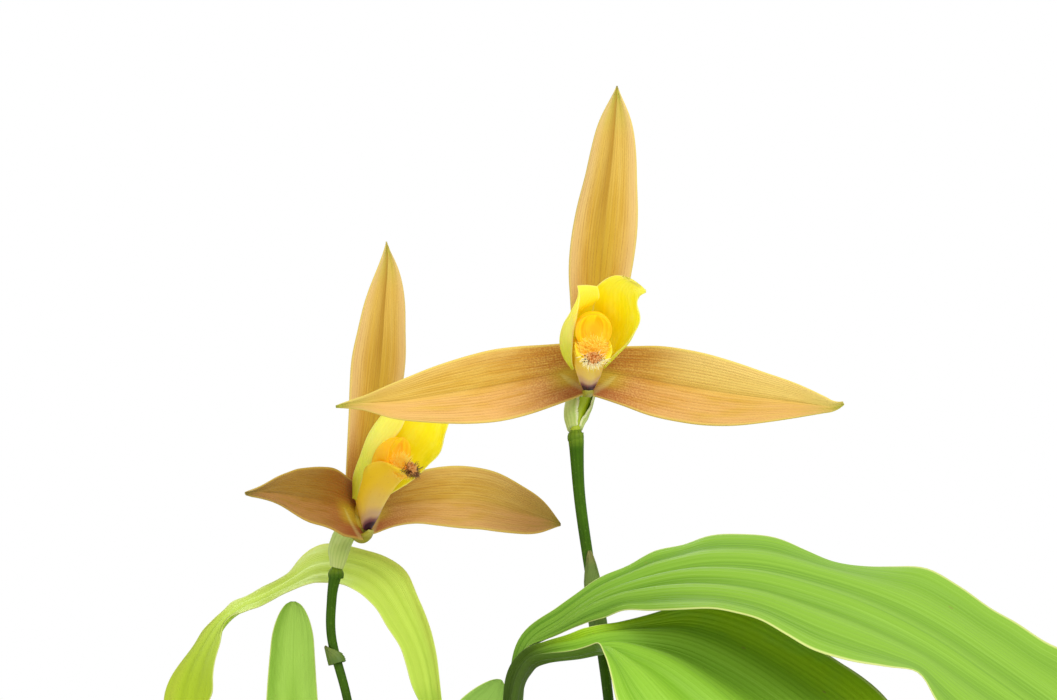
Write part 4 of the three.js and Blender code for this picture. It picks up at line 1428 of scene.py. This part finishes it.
    def fringe(self) -> list[Loft]:
        """Longer hairs that radiate from the middle lobe's lower rim."""
        random = np.random.default_rng(11 if self.side is FlowerSide.FRONT else 12)
        lofts = []
        for _ in range(int(FRINGE_SHARE * self.hairs * COARSE)):
            angle = random.normal() * 1.05 - math.pi / 2
            reach = random.uniform(0.45, 1)
            across, rise = 2.7 * reach * math.cos(angle), 1.5 * reach * math.sin(angle)
            root = np.array([across - 0.3, -20.7 + 1.3 * reach**2 + random.uniform(-0.2, 0.2), 5.2 + rise])
            out = unit(np.array([math.cos(angle), -0.8, math.sin(angle)]) + 0.35 * random.normal(size=3))
            lofts.append(self.hair(random, root, out, random.uniform(0.8, 1.7), random.uniform(0.055, 0.09)))
        return lofts

    def hair_finish(self) -> PlainFinish:
        """Fine hairs with dark roots."""
        return PlainFinish(
            f"lip hairs {self.side.value}",
            [(0.0, "#2e100c"), (0.24, "#4e2414"), (0.42, self.hair_code), (1.0, self.hair_code)],
            # The front flower's hairs glow: painted light.
            glow=0.1 if self.side is FlowerSide.FRONT else 0.0, rough=0.5, depth=0.01,
        )


FLOWERS = (
    Flower(
        FlowerSide.FRONT, centre=(25.9, 0, 271.8), turn=0, tilt=0, sepals=FRONT_SEPALS, petals=FRONT_PETALS,
        lip=FRONT_LIP, hair_code="#f6e9b4", lean=0.075,
    ),
    Flower(
        FlowerSide.TURNED, centre=(-30.2, 25, 236.8), turn=52, tilt=18, sepals=TURNED_SEPALS,
        petals=TURNED_PETALS, lip=TURNED_LIP, hair_code="#8a5a34", lift=0.12,
    ),
)


# Stems and bracts


FRONT_SCAPE = [
    (29, -3, 87), (33.5, -3, 110), (34.5, -2, 140), (33, -1, 170), (30.6, 0, 197), (27, 1, 222),
    (24, 2, 243), (23, 3, 259),
]
FRONT_OVARY = [(22.9, 3, 259.7), (23.4, 4.4, 264), (24.6, 5.4, 268.4), (25.5, 4, 271)]
TURNED_SCAPE = [
    (-27, 14, 87), (-26, 16, 110), (-27, 19, 145), (-30, 22, 175), (-33.5, 24, 193), (-37.3, 26, 207),
    (-37.4, 27, 217), (-36.4, 28, 224),
]
TURNED_OVARY = [(-36.3, 28, 224.7), (-35.9, 28.6, 228.5), (-34.6, 28.3, 232.6), (-32.5, 26.9, 235.4)]


@dataclass(frozen=True)
class Bract:
    """A bract wrapped round a stem.

    Attributes:
        stem: Middle line of the stem.
        start: Where it starts on the stem.
        end: Where it ends.
        back: Side of the stem that its middle line runs along.
        wrap: How far it wraps on each side, in degrees.
        bore: Radius of the stem inside it.
        flare: How far its point stands off.
    """

    stem: Points
    start: float
    end: float
    back: Sequence[float]
    wrap: Values
    bore: Values
    flare: Values

    def blade(self) -> Blade:
        """The bract's blade, with an uneven edge."""
        gap = 0.7
        steps = 5
        side = unit(np.array(self.back, float))
        middle, half = [], []
        for i in range(steps + 1):
            t = i / steps
            place = self.start + (self.end - self.start) * t
            reach = float(along(self.bore, t))
            centre, ahead, _, _ = frames(self.stem, [(1, 0, 0)], np.array([place]))
            outward = unit(side - ahead[0] * float(np.dot(side, ahead[0])))
            middle.append(centre[0] + outward * (reach + gap + float(along(self.flare, t))))
            half.append((reach + gap) * math.radians(float(along(self.wrap, t))))

        def relief(t: np.ndarray, v: np.ndarray) -> np.ndarray:
            """Fine lengthwise ribs and a ragged edge."""
            ribs = 0.05 * np.cos(26 * math.pi * v)
            ragged = 0.18 * np.abs(v) ** 12 * np.sin(45 * t + 3 * np.sin(21 * t))
            return ribs + ragged

        return Blade(middle, [-side], half, cup=self.wrap, relief=relief, thickness=0.6)


@dataclass
class Stalk:
    """Scape, ovary and bracts of one flower.

    Attributes:
        side: Which flower.
        scape: Middle line of the scape.
        ovary: Middle line of the ovary.
        upper: Where the upper scape bract starts and ends.
        point: Side that the upper bract's point is on.
        low_point: Side that the lower bract's point is on.
        seam: Side of the ovary that its bract is closed on.
        slim: Thickness of the scape as a part of the usual one.
        girth: Thickness of the ovary and its bract as a part of the usual one.
    """

    side: FlowerSide
    scape: Points
    ovary: Points
    upper: tuple[float, float]
    point: Sequence[float]
    low_point: Sequence[float]
    seam: Sequence[float]
    slim: float = 1.0
    girth: float = 1.0

    def sheath(self, start: float, end: float, point: Sequence[float]) -> Bract:
        """A sheathing bract on the scape."""
        return Bract(
            self.scape, start, end, point, wrap=(165, 158, 120, 64, 12), bore=(1.3, 1.25, 1.2, 1.1),
            flare=(0, 0, 0, 0.1),
        )

    def build(self) -> None:
        """Makes the scape, the ovary and the bracts."""
        side = self.side.value

        def ribs(t: np.ndarray, angle: np.ndarray) -> np.ndarray:
            """Seven low ribs, and a swelling under the flower."""
            return 1 + 0.015 * np.cos(7 * angle) + 0.03 * np.exp(-(((t - 0.98) / 0.008) ** 2))

        radius = [r * self.slim for r in (1.8, 1.5, 1.3, 1.1, 1.15, 1.25, 1.3, 1.35, 1.45, 1.9)]
        scape = Shaft(self.scape, radius, relief=ribs)
        top = np.array(self.scape[-1], float)
        collar = Shaft([top - (0, 0, 2), top - (0, 0, 0.6), top + (0, 0, 0.9)], (1.85, 1.98, 1.95, 1.6, 1))
        ring = collar.loft(14, 40)
        ring = replace(ring, lengthwise=0.97 + 0.03 * ring.lengthwise)
        stem = skin(f"{side}_scape_skin", [scape.loft(160, 28), ring])
        dress(stem, self.scape_finish(), [f"{side}_scape"])
        ovary = Shaft(
            self.ovary, [r * self.girth for r in (1.1, 1.9, 2.3, 2.3)], first=-0.06,
            relief=lambda t, angle: 1 + 0.04 * np.cos(6 * angle),
        )
        fruit = skin(f"{side}_ovary_skin", [ovary.loft(50, 36)])
        dress(fruit, self.ovary_finish(), [f"{side}_ovary"])
        floral = Bract(
            self.ovary, -0.02, 0.9, self.seam, wrap=(172, 158, 148, 146, 140),
            bore=[r * self.girth for r in (0.9, 2, 2.35, 2.4, 2.25)],
            flare=(0, 0, 0, 0.1, 0.3),
        )
        bracts = {
            "floral_bract": (floral, self.floral_finish()),
            "upper_scape_bract": (self.sheath(*self.upper, self.point), self.sheath_finish()),
            "lower_scape_bract": (self.sheath(0.16, 0.36, self.low_point), self.sheath_finish()),
        }
        for part, (bract, finish) in bracts.items():
            piece = skin(f"{side}_{part}_skin", [bract.blade().loft(44, 60)])
            dress(piece, finish, [f"{side}_{part}"])

    @staticmethod
    def scape_finish() -> PlainFinish:
        """Dark green stem."""
        return PlainFinish(
            "scape",
            [(0.0, "#5f6c24"), (0.2, "#365200"), (0.6, "#315000"), (0.965, "#385c00"), (1.0, "#728c20")],
            cloud=("#4a7402", 0.25), speck=("#7a9a3a", 0.15), streaks=11, streak=("#203a00", 0.25),
            depth=0.03, fixed={"Specular_IOR_Level": 0.12},
        )

    @staticmethod
    def ovary_finish() -> PlainFinish:
        """Olive ovary."""
        return PlainFinish(
            "ovary", [(0.0, "#a0b214"), (0.4, "#a8bc18"), (1.0, "#b0be24")], cloud=("#bcc83c", 0.3),
            # Its glow is painted light inside the shade of its bract.
            streaks=6, streak=("#8ca010", 0.3), glow=0.1, depth=0.05,
        )

    @staticmethod
    def floral_finish() -> PlainFinish:
        """Cream-green bract of the ovary."""
        return PlainFinish(
            "floral bract", [(0.0, "#bcca70"), (0.4, "#b8cc68"), (0.9, "#b4cc60"), (1.0, "#dfe0a4")],
            cloud=("#dadf9c", 0.4), streaks=15, streak=("#9cb84a", 0.5), edge=("#ecebc0", 0.7),
            rough=0.55, depth=0.06,
        )

    @staticmethod
    def sheath_finish() -> PlainFinish:
        """Olive bract of the scape with a dry point."""
        return PlainFinish(
            "scape bract", [(0.0, "#44640c"), (0.4, "#56721a"), (0.8, "#6c8232"), (1.0, "#8c8446")],
            cloud=("#8c9440", 0.3), streaks=13, streak=("#42600e", 0.4), rough=0.6, depth=0.08,
        )


STALKS = (
    Stalk(
        FlowerSide.FRONT, FRONT_SCAPE, FRONT_OVARY, upper=(0.63, 0.77), point=(0.3, -1, 0),
        low_point=(1, 0.2, 0), seam=(-0.45, 0.9, 0),
    ),
    Stalk(
        FlowerSide.TURNED, TURNED_SCAPE, TURNED_OVARY, upper=(0.65, 0.7), point=(-1, -0.2, 0),
        low_point=(-1, 0.2, 0), seam=(0.75, -0.65, 0), slim=0.88, girth=0.74,
    ),
)


# Leaves


ARCHING_LEAF = Blade(
    middle=[
        (9, -14, 156.4), (9.2, -14.5, 177), (9.6, -15, 197), (11.6, -16, 209), (20, -19, 215.5),
        (29, -22, 221.5), (40, -25, 225.5), (51, -28, 227.5), (64, -31, 227), (77, -34, 224),
        (90, -37, 219.5), (103, -39, 213), (115, -41, 205), (127, -43, 196.5), (139, -44, 187.5),
        (151, -45, 178),
    ],
    face=[
        (-1, -0.3, 0.1), (-0.65, -0.25, 0.7), (-0.3, -0.25, 0.92), (0.18, -0.32, 0.93), (0.45, -0.4, 0.8),
        (0.5, -0.6, 0.6),
    ],
    half=(3.5, 3.5, 3.5, 3.6, 4.6, 7.5, 13, 19, 24, 28, 29.5, 29.5, 28, 24, 16, 1),
    cup=(85, 85, 80, 45, 8, -4, -6, -8, -10, -10),
    relief=both(pleats(0.9), ruffles(0.8, 4)),
    plus_rise=(
        0, 0, 0, 0, 0, 0, -0.5, -2.4, -3.6, -5, -5.8, -4.6, -4, -2.6, -1.2, 0, 0.3, 0.8, 0.3, 0, 1.4, 4.2,
        6.5, 3, 0, 0, 0, 0, 0, 0, 0,
    ),
    minus_rise=(
        0, 0, 0, 0, 0, 0, 0, 0, 0, 0, 0.3, -0.3, 0.5, -0.2, 0.8, 1, 1.2, 0, -0.8, 0.3, 2.4, 4.8, 4.6, 4.4,
        5.6, 6.2, 7.8, 7, 5, 2, 0,
    ),
)
FRONT_LEAF = Blade(
    middle=[
        (9, -21, 156.4), (9, -22.5, 178), (9.4, -24, 198.5), (12, -25.5, 205.5), (16, -27, 208),
        (23.5, -30, 209.5), (30, -32, 211), (36, -35, 210.5), (44, -39.5, 208), (53, -45, 202.5),
        (62, -51, 195.5), (73, -57, 187), (84, -62, 177), (94, -66, 165.5), (103, -69, 152),
    ],
    face=[
        (-1, -0.3, 0.1), (-1, -0.3, 0.15), (-0.5, -0.3, 0.8), (-0.05, -0.35, 0.93),
        (0.15, -0.42, 0.9), (0.2, -0.62, 0.76), (0.3, -0.73, 0.61), (0.7, -0.45, 0.5),
    ],
    half=(4.6, 4.6, 4.6, 4.6, 4.8, 6, 8.5, 15, 23, 28, 30, 28, 22, 12, 1),
    cup=(90, 90, 85, 60, 5, -6, -8, -10),
    relief=both(pleats(0.9), ruffles(0.5, 5)),
    minus_rise=(
        0, 0, 0, 0, 0, 0, 0, 0, 0, 0, 0, -0.8, -1.4, -0.8, 1, 4, 5.4, 6, 5.4, 4.4, 4, 4.2, 4.4, 4, 3, 2,
        1, 0, 0,
    ),
)
LEFT_LEAF = Blade(
    middle=[
        (-9.5, 24, 153.4), (-10.8, 29, 173), (-13.4, 34, 192), (-16, 36.5, 203), (-20.6, 38.5, 212.5),
        (-26, 40, 220), (-33.5, 41.5, 223.5), (-42, 42, 223.5), (-49, 42, 219.7), (-55.5, 42, 216.3),
        (-61.2, 41, 213.8), (-65.8, 40, 210), (-69.5, 39, 204.5), (-73, 38, 197), (-75, 37.3, 189),
        (-75.6, 37, 180), (-75.8, 37, 171.6),
    ],
    face=[
        (0.7, -0.7, 0.1), (0.55, -0.78, 0.27), (0.62, -0.6, 0.5), (0.15, -0.45, 0.88), (-0.4, -0.3, 0.85),
        (-0.47, -0.27, 0.84), (-0.7, -0.5, 0.5), (-0.5, -0.8, 0.2), (-0.7, -0.7, 0),
    ],
    half=(3, 3, 3.4, 5, 8, 10, 10, 10, 7.5, 6.3, 6.3, 6.3, 6.5, 7, 6, 4, 0.8),
    cup=(80, 70, 40, 20, 10, 10, 15, 10, 0),
    relief=both(ruffles(0.7, 6), pleats(0.4, 3)),
    plus=(
        0, 0, 0, 0, 0, -0.4, -1.2, -2, -2, -1.2, -2.4, -3.4, -1.8, 1.6, 1.2, -1.7, -2.6, -0.8, 0.2, 1.8,
        -1.8, -3, -1.8, -1.4, -0.8, 0, 0.6, 0.6, 0, 0, 0,
    ),
    minus=(
        0, 0, 0, 0, 3, 3.4, 2.8, 2.6, 1.8, 2.4, 2.4, 1.2, 0, 0, 1, 1, -0.4, -1, 0.6, 0.8, -2.4, -3, -0.4,
        1, 2, 2.4, 0.6, -1.6, 0, 0, 0,
    ),
)
UPRIGHT_LEAF = Blade(
    middle=[(-45, 27, 128.6), (-45.6, 27.6, 146), (-46.8, 28.8, 170), (-47.3, 30, 194), (-47, 31, 216)],
    face=[(0.15, -1, 0.1)],
    half=(2.8, 4.1, 5.5, 6.8, 7.8, 8, 7.4, 6.5, 5.8, 5.1, 4.4),
    cup=(80, 50, 30, 25),
    blunt=0.12,
    minus=(0.7,),
)
SHORT_LEAF = Blade(
    middle=[(-8.5, 18.4, 153.8), (-8.2, 17.6, 164), (-6.5, 16, 175), (-2, 14.4, 187), (5, 12.6, 198.4)],
    face=[(0.1, -1, 0.3)],
    half=(2.8, 4, 5.4, 6.8, 7.5, 7, 6, 4.8),
    cup=(80, 50, 25, 20),
    blunt=0.26,
)


@dataclass
class Foliage:
    """The five leaves."""

    def finishes(self) -> dict[str, LeafFinish]:
        """Finish of each leaf."""
        return {
            "arching_leaf": LeafFinish(
                "arching leaf", "#80ac30", "#50800e", "#466f16", "#5c8220", contrast=0.6, stalk_part=0.18,
                vein="#9ec856",
            ),
            "front_leaf": LeafFinish(
                "front leaf", "#88b830", "#609414", "#40600a", "#3e5806", blush=("#98bc04", 0.8),
                blush_side=-1, contrast=0.5, stalk_part=0.3, vein="#a2cc50", glow=0.06,
            ),
            "left_leaf": LeafFinish(
                "left leaf", "#cee85e", "#aecc34", "#a6c81e", "#98be34", blush=("#c8b458", 0.25),
                contrast=0.35, stalk_part=0.12, vein="#d8f078", tip=("#a4be08", 0.85),
            ),
            "upright_leaf": LeafFinish(
                "upright leaf", "#a2cc50", "#7ca82e", "#88b848", "#a4c066", core=("#6f9e0c", 0.75),
                blush=("#72a020", 0.6), blush_side=-1, pleats=1, contrast=0.4, stalk_part=0.1, vein="#aed464",
            ),
            "short_leaf": LeafFinish(
                "short leaf", "#98c452", "#74a636", "#88b848", "#a4c066", pleats=1, contrast=0.5,
                stalk_part=0.1, vein="#a8ce62",
            ),
        }

    def build(self) -> None:
        """Makes every leaf."""
        blades = {
            "arching_leaf": ARCHING_LEAF, "front_leaf": FRONT_LEAF, "left_leaf": LEFT_LEAF,
            "upright_leaf": UPRIGHT_LEAF, "short_leaf": SHORT_LEAF,
        }
        for name, finish in self.finishes().items():
            dress(skin(f"{name}_skin", [blades[name].loft(150, 80)]), finish, [name])


# Bulbs, bark and pot


POT_HEIGHT = 105.0
POT_FOOT_RADIUS = 45.0
POT_RIM_RADIUS = 65.5
POT_RIM_DEPTH = 22.0
POT_RIM_OVERHANG = 4.5
POT_EDGE = 1.5
POT_WALL = 6.0
POT_FLOOR = 8.0
DRAIN_RADIUS = 6.0
DRAIN_CIRCLE = 24.0
MIX_LEVEL = 95.0
ROOTED_FOOT = 87.0


def potted_radius(height: float) -> float:
    """Outer radius of the pot's wall under its rim."""
    shoulder = POT_HEIGHT - POT_RIM_DEPTH
    return POT_FOOT_RADIUS + (POT_RIM_RADIUS - POT_RIM_OVERHANG - POT_FOOT_RADIUS) * height / shoulder


def turned(profile: Sequence[tuple[float, float]], segments: int) -> Loft:
    """Body of revolution about +Z from a profile of (radius, height) points off the axis."""
    angle = np.arange(segments) * 2 * math.pi / segments
    radius = np.array([point[0] for point in profile])[:, None]
    height = np.array([point[1] for point in profile])[:, None] * np.ones(segments)
    points = np.stack([radius * np.cos(angle), radius * np.sin(angle), height], axis=-1)
    steps = np.linalg.norm(np.diff(np.array(profile), axis=0), axis=1)
    lengthwise = np.concatenate([[0], np.cumsum(steps)]) / steps.sum()
    return Loft(points, np.linspace(0, 1, segments + 1), lengthwise, np.ones(segments))


def rounded(profile: Sequence[tuple[float, float]], passes: int = 2) -> list[tuple[float, float]]:
    """A profile with its corners cut a little, more finely with each pass."""
    points = [np.array(point, float) for point in profile]
    for _ in range(passes):
        cut = [points[0]]
        for a, b in zip(points[:-1], points[1:]):
            short = min(0.25, 0.8 / max(float(np.linalg.norm(b - a)), 1e-6))
            cut += [a + (b - a) * short, b - (b - a) * short]
        points = cut + [points[-1]]
    return [tuple(point) for point in points]


@dataclass
class Pot:
    """Clay pot with its bark mix."""

    chips: int = 240

    def build(self) -> None:
        """Makes the pot and the bark."""
        dress(self.pot(), ClayFinish("clay"), ["pot"])
        dress(skin("bark", [self.bed()] + self.chip_lofts()), BarkFinish("bark"), ["bark_mix"])

    @staticmethod
    def pot() -> bpy.types.Object:
        """The pot with its drain holes."""
        shoulder = POT_HEIGHT - POT_RIM_DEPTH
        outline = [
            (0.5, 0), (POT_FOOT_RADIUS - POT_EDGE, 0), (potted_radius(POT_EDGE), POT_EDGE),
            (potted_radius(shoulder - POT_EDGE), shoulder - POT_EDGE),
            (POT_RIM_RADIUS - POT_EDGE / 2, shoulder),
            (POT_RIM_RADIUS, shoulder + POT_EDGE), (POT_RIM_RADIUS, POT_HEIGHT - POT_EDGE),
            (POT_RIM_RADIUS - POT_EDGE, POT_HEIGHT), (POT_RIM_RADIUS - POT_WALL, POT_HEIGHT - POT_EDGE / 3),
            (potted_radius(shoulder) - POT_WALL + POT_EDGE, shoulder),
            (potted_radius(POT_FLOOR) - POT_WALL, POT_FLOOR), (0.5, POT_FLOOR),
        ]
        pot = skin("clay_pot", [turned(rounded(outline), int(144 * COARSE))])
        cutters = []
        for i in range(3):
            angle = i * 2 * math.pi / 3 + math.pi / 2
            x, y = DRAIN_CIRCLE * math.cos(angle), DRAIN_CIRCLE * math.sin(angle)
            cutters.append(Shaft([(x, y, -5), (x, y, POT_FLOOR + 5)], (DRAIN_RADIUS,)).loft(4, 48))
        cutter = skin("drain_cutter", cutters)
        cut = pot.modifiers.new("drains", "BOOLEAN")
        cut.object = cutter
        cut.operation = "DIFFERENCE"
        bpy.context.view_layer.update()
        graph = bpy.context.evaluated_depsgraph_get()
        holed = bpy.data.meshes.new_from_object(pot.evaluated_get(graph), depsgraph=graph)
        pot.modifiers.clear()
        pot.data = holed
        bpy.data.objects.remove(cutter)
        return pot

    @staticmethod
    def bed() -> Loft:
        """The mix under the chips, uneven on top."""
        random = np.random.default_rng(3)
        top = POT_RIM_RADIUS - POT_WALL - 1.2
        shoulder = POT_HEIGHT - POT_RIM_DEPTH
        inner = [(r, MIX_LEVEL) for r in np.linspace(1, top - 3, 26)]
        outer = [
            (top - 0.6, MIX_LEVEL - 1), (potted_radius(shoulder) - POT_WALL + 0.9, shoulder),
            (potted_radius(POT_FLOOR) - POT_WALL - 0.6, POT_FLOOR + 0.3), (1, POT_FLOOR + 0.3),
        ]
        loft = turned(inner + outer, int(120 * COARSE))
        rough = random.normal(size=loft.points.shape[:2])
        loft.points[: len(inner), :, 2] += 0.7 * rough[: len(inner)]
        loft.tone = 0.15
        return loft

    def chip_lofts(self) -> list[Loft]:
        """Bark chips lying on the mix."""
        random = np.random.default_rng(7)
        top = POT_RIM_RADIUS - POT_WALL - 8
        golden = math.pi * (3 - math.sqrt(5))
        lofts = []
        for i in range(int(self.chips * COARSE)):
            reach = top * math.sqrt((i + 0.5) / int(self.chips * COARSE))
            size = np.array([random.uniform(3.5, 7), random.uniform(2.5, 5), random.uniform(1.2, 2.6)])
            polar = np.linspace(0.08, math.pi - 0.08, 9)[:, None]
            turn = np.linspace(0, 2 * math.pi, 13)[None, :-1]
            level = np.sin(polar)
            axes = [np.cos(polar) * np.ones_like(turn), level * np.cos(turn), level * np.sin(turn)]
            ball = np.stack(axes, axis=-1)
            boxy = np.sign(ball) * np.abs(ball) ** 0.45
            boxy = boxy * (1 + 0.1 * random.normal(size=boxy.shape[:2])[..., None]) * size
            yaw, pitch, roll = random.uniform(0, 2 * math.pi), random.normal() * 0.25, random.normal() * 0.25
            x, y, z = boxy[..., 0], boxy[..., 1], boxy[..., 2]
            x, z = x * math.cos(pitch) + z * math.sin(pitch), z * math.cos(pitch) - x * math.sin(pitch)
            y, z = y * math.cos(roll) - z * math.sin(roll), z * math.cos(roll) + y * math.sin(roll)
            x, y = x * math.cos(yaw) - y * math.sin(yaw), x * math.sin(yaw) + y * math.cos(yaw)
            x = x + reach * math.cos(i * golden)
            y = y + reach * math.sin(i * golden)
            z = z + MIX_LEVEL + random.uniform(0, 2.4)
            lofts.append(Loft(
                np.stack([x, y, z], axis=-1), np.linspace(0, 1, 13), np.linspace(0, 1, 9), np.ones(12),
                tone=float(random.uniform(0, 1)),
            ))
        return lofts


@dataclass(frozen=True)
class Bulb:
    """A ridged pseudobulb that stands in the mix.

    Attributes:
        name: Node that it stands for.
        foot: Place of its foot in the mix.
        top: Place of its top.
        width: Largest radius.
        top_radius: Radius of its top.
        ridges: Number of ridges.
    """

    name: str
    foot: tuple[float, float]
    top: tuple[float, float, float]
    width: float
    top_radius: float
    ridges: int = 9

    def build(self) -> None:
        """Makes the bulb."""
        foot = np.array([*self.foot, ROOTED_FOOT])
        top = np.array(self.top, float)
        radius = [part * self.width for part in (0.55, 0.92, 1, 0.9, 0.7, 0.48)] + [self.top_radius]

        def relief(t: np.ndarray, angle: np.ndarray) -> np.ndarray:
            """Ridges, sharper than a wave, and shallow wrinkles."""
            wave = np.cos(self.ridges * angle + 0.4 * np.sin(3 * t))
            fade = np.sin(math.pi * np.clip(t, 0, 1))
            small = 0.008 * np.cos(31 * angle + 5 * t) + 0.006 * np.sin(40 * t + 3 * angle)
            return 1 + (0.05 * (1 - 2 * np.abs(wave) ** 0.7 * (wave < 0)) * fade) + small * fade

        middle = [foot + (top - foot) * part for part in (0, 0.33, 0.67, 1)]
        body = Shaft(middle, radius, relief=relief)
        dress(skin(f"{self.name}_skin", [body.loft(80, 120, 0.04)]), self.finish(), [self.name])

    @staticmethod
    def finish() -> PlainFinish:
        """Green bulb, brown and papery at its foot."""
        return PlainFinish(
            "bulb",
            [(0.0, "#8a7048"), (0.2, "#927c4c"), (0.32, "#8d9650"), (0.6, "#7f9c45"), (1.0, "#8aa552")],
            cloud=("#a8b263", 0.4), speck=("#6b5a34", 0.4), streaks=27, streak=("#5f7a30", 0.35), rough=0.42,
            depth=0.15, fixed={"Specular_IOR_Level": 0.45},
        )


BULBS = (
    Bulb("front_pseudobulb", foot=(6, -16), top=(9, -18, 156), width=19, top_radius=7.5),
    Bulb("rear_pseudobulb", foot=(-4, 19), top=(-8.5, 22, 153), width=15.5, top_radius=7),
    Bulb("back_bulb", foot=(29, 27), top=(31, 31, 140), width=15, top_radius=2.5),
)


@dataclass(frozen=True)
class Shoot:
    """The new shoot that the upright leaf grows from."""

    def build(self) -> None:
        """Makes the shoot."""
        body = Shaft([(-39, 22, ROOTED_FOOT), (-42, 24, 108), (-45, 27, 128)], (5.5, 7.2, 6.4, 5, 3.6))
        finish = PlainFinish(
            "shoot", [(0.0, "#a08a5c"), (0.35, "#a9b56a"), (1.0, "#b3cf78")], cloud=("#cfdc98", 0.35),
            streaks=18, streak=("#7f9a48", 0.4), rough=0.5, depth=0.12,
        )
        dress(skin("new_shoot_skin", [body.loft(60, 72, 0.04)]), finish, ["new_shoot"])


# Studio


@dataclass(frozen=True)
class Studio:
    """Floor, lights and camera.

    Attributes:
        camera_at: Place of the camera, in millimetres.
        lens: Focal length.
        sensor: Width of the camera's sensor.
        floor_radius: Radius of the floor, in metres.
        around: Strength of the light from all round.
        aim: Place that the lights look at, in metres.
        lamps: Name, place, size and power of each light.
    """

    camera_at: tuple[float, float, float] = (11.64, -704.7, 279.0)
    lens: float = 100.0
    sensor: float = 36.0
    floor_radius: float = 1.5
    around: float = 0.55
    aim: tuple[float, float, float] = (0.0, 0.0, 0.24)
    lamps: tuple[tuple[str, tuple[float, float, float], float, float], ...] = (
        ("key", (0.5, -0.75, 1.05), 0.9, 13.0),
        ("fill", (-0.9, -0.6, 0.4), 0.9, 2.0),
        ("back", (-0.3, 0.9, 0.9), 0.8, 5.0),
    )

    def build(self) -> None:
        """Makes the floor, the lights and the camera."""
        self.floor()
        self.world()
        for lamp in self.lamps:
            self.light(*lamp)
        camera = bpy.data.cameras.new("camera")
        camera.lens = self.lens
        camera.sensor_width = self.sensor
        camera.clip_start = 0.01
        holder = bpy.data.objects.new("camera", camera)
        holder.location = [value * MM for value in self.camera_at]
        holder.rotation_euler = (math.pi / 2, 0, 0)
        bpy.context.scene.collection.objects.link(holder)
        bpy.context.scene.camera = holder

    def floor(self) -> None:
        """A plain pale round floor."""
        angle = np.linspace(0, 2 * math.pi, 97)[:-1]
        rim = [(self.floor_radius * math.cos(a), self.floor_radius * math.sin(a), 0.0) for a in angle]
        mesh = bpy.data.meshes.new("floor")
        mesh.from_pydata(rim, [], [list(range(len(rim)))])
        floor = bpy.data.objects.new("floor", mesh)
        mesh.materials.append(StudioFinish("floor paper").material())
        bpy.context.scene.collection.objects.link(floor)

    def world(self) -> None:
        """White light from all round."""
        world = bpy.data.worlds.new("white studio")
        world.use_nodes = True
        sky = world.node_tree.nodes["Background"]
        sky.inputs[0].default_value = (1.0, 1.0, 1.0, 1.0)
        sky.inputs[1].default_value = self.around
        backdrop = world.node_tree.nodes.new("ShaderNodeBackground")
        seen = world.node_tree.nodes.new("ShaderNodeLightPath")
        either = world.node_tree.nodes.new("ShaderNodeMixShader")
        links = world.node_tree.links
        backdrop.inputs[0].default_value = (1.0, 1.0, 1.0, 1.0)
        backdrop.inputs[1].default_value = 1.0
        links.new(seen.outputs["Is Camera Ray"], either.inputs[0])
        links.new(sky.outputs[0], either.inputs[1])
        links.new(backdrop.outputs[0], either.inputs[2])
        links.new(either.outputs[0], world.node_tree.nodes["World Output"].inputs[0])
        bpy.context.scene.world = world
        bpy.context.scene.view_settings.view_transform = "Standard"

    def light(self, name: str, place: tuple[float, float, float], size: float, power: float) -> None:
        """A soft square light that looks at the flowers."""
        lamp = bpy.data.lights.new(name, "AREA")
        lamp.size = size
        lamp.energy = power
        holder = bpy.data.objects.new(name, lamp)
        holder.location = place
        aim = np.array(self.aim) - np.array(place)
        yaw = math.atan2(aim[1], aim[0]) - math.pi / 2
        pitch = math.pi / 2 + math.atan2(aim[2], math.hypot(aim[0], aim[1]))
        holder.rotation_euler = (pitch, 0, yaw)
        bpy.context.scene.collection.objects.link(holder)


def main() -> None:
    """Makes the whole plant and its studio."""
    logging.basicConfig(level=logging.INFO, format="%(message)s")
    Pot().build()
    for part in (*BULBS, Shoot(), Foliage(), *STALKS, *FLOWERS):
        part.build()
    Studio().build()


if __name__ == "__main__":
    main()
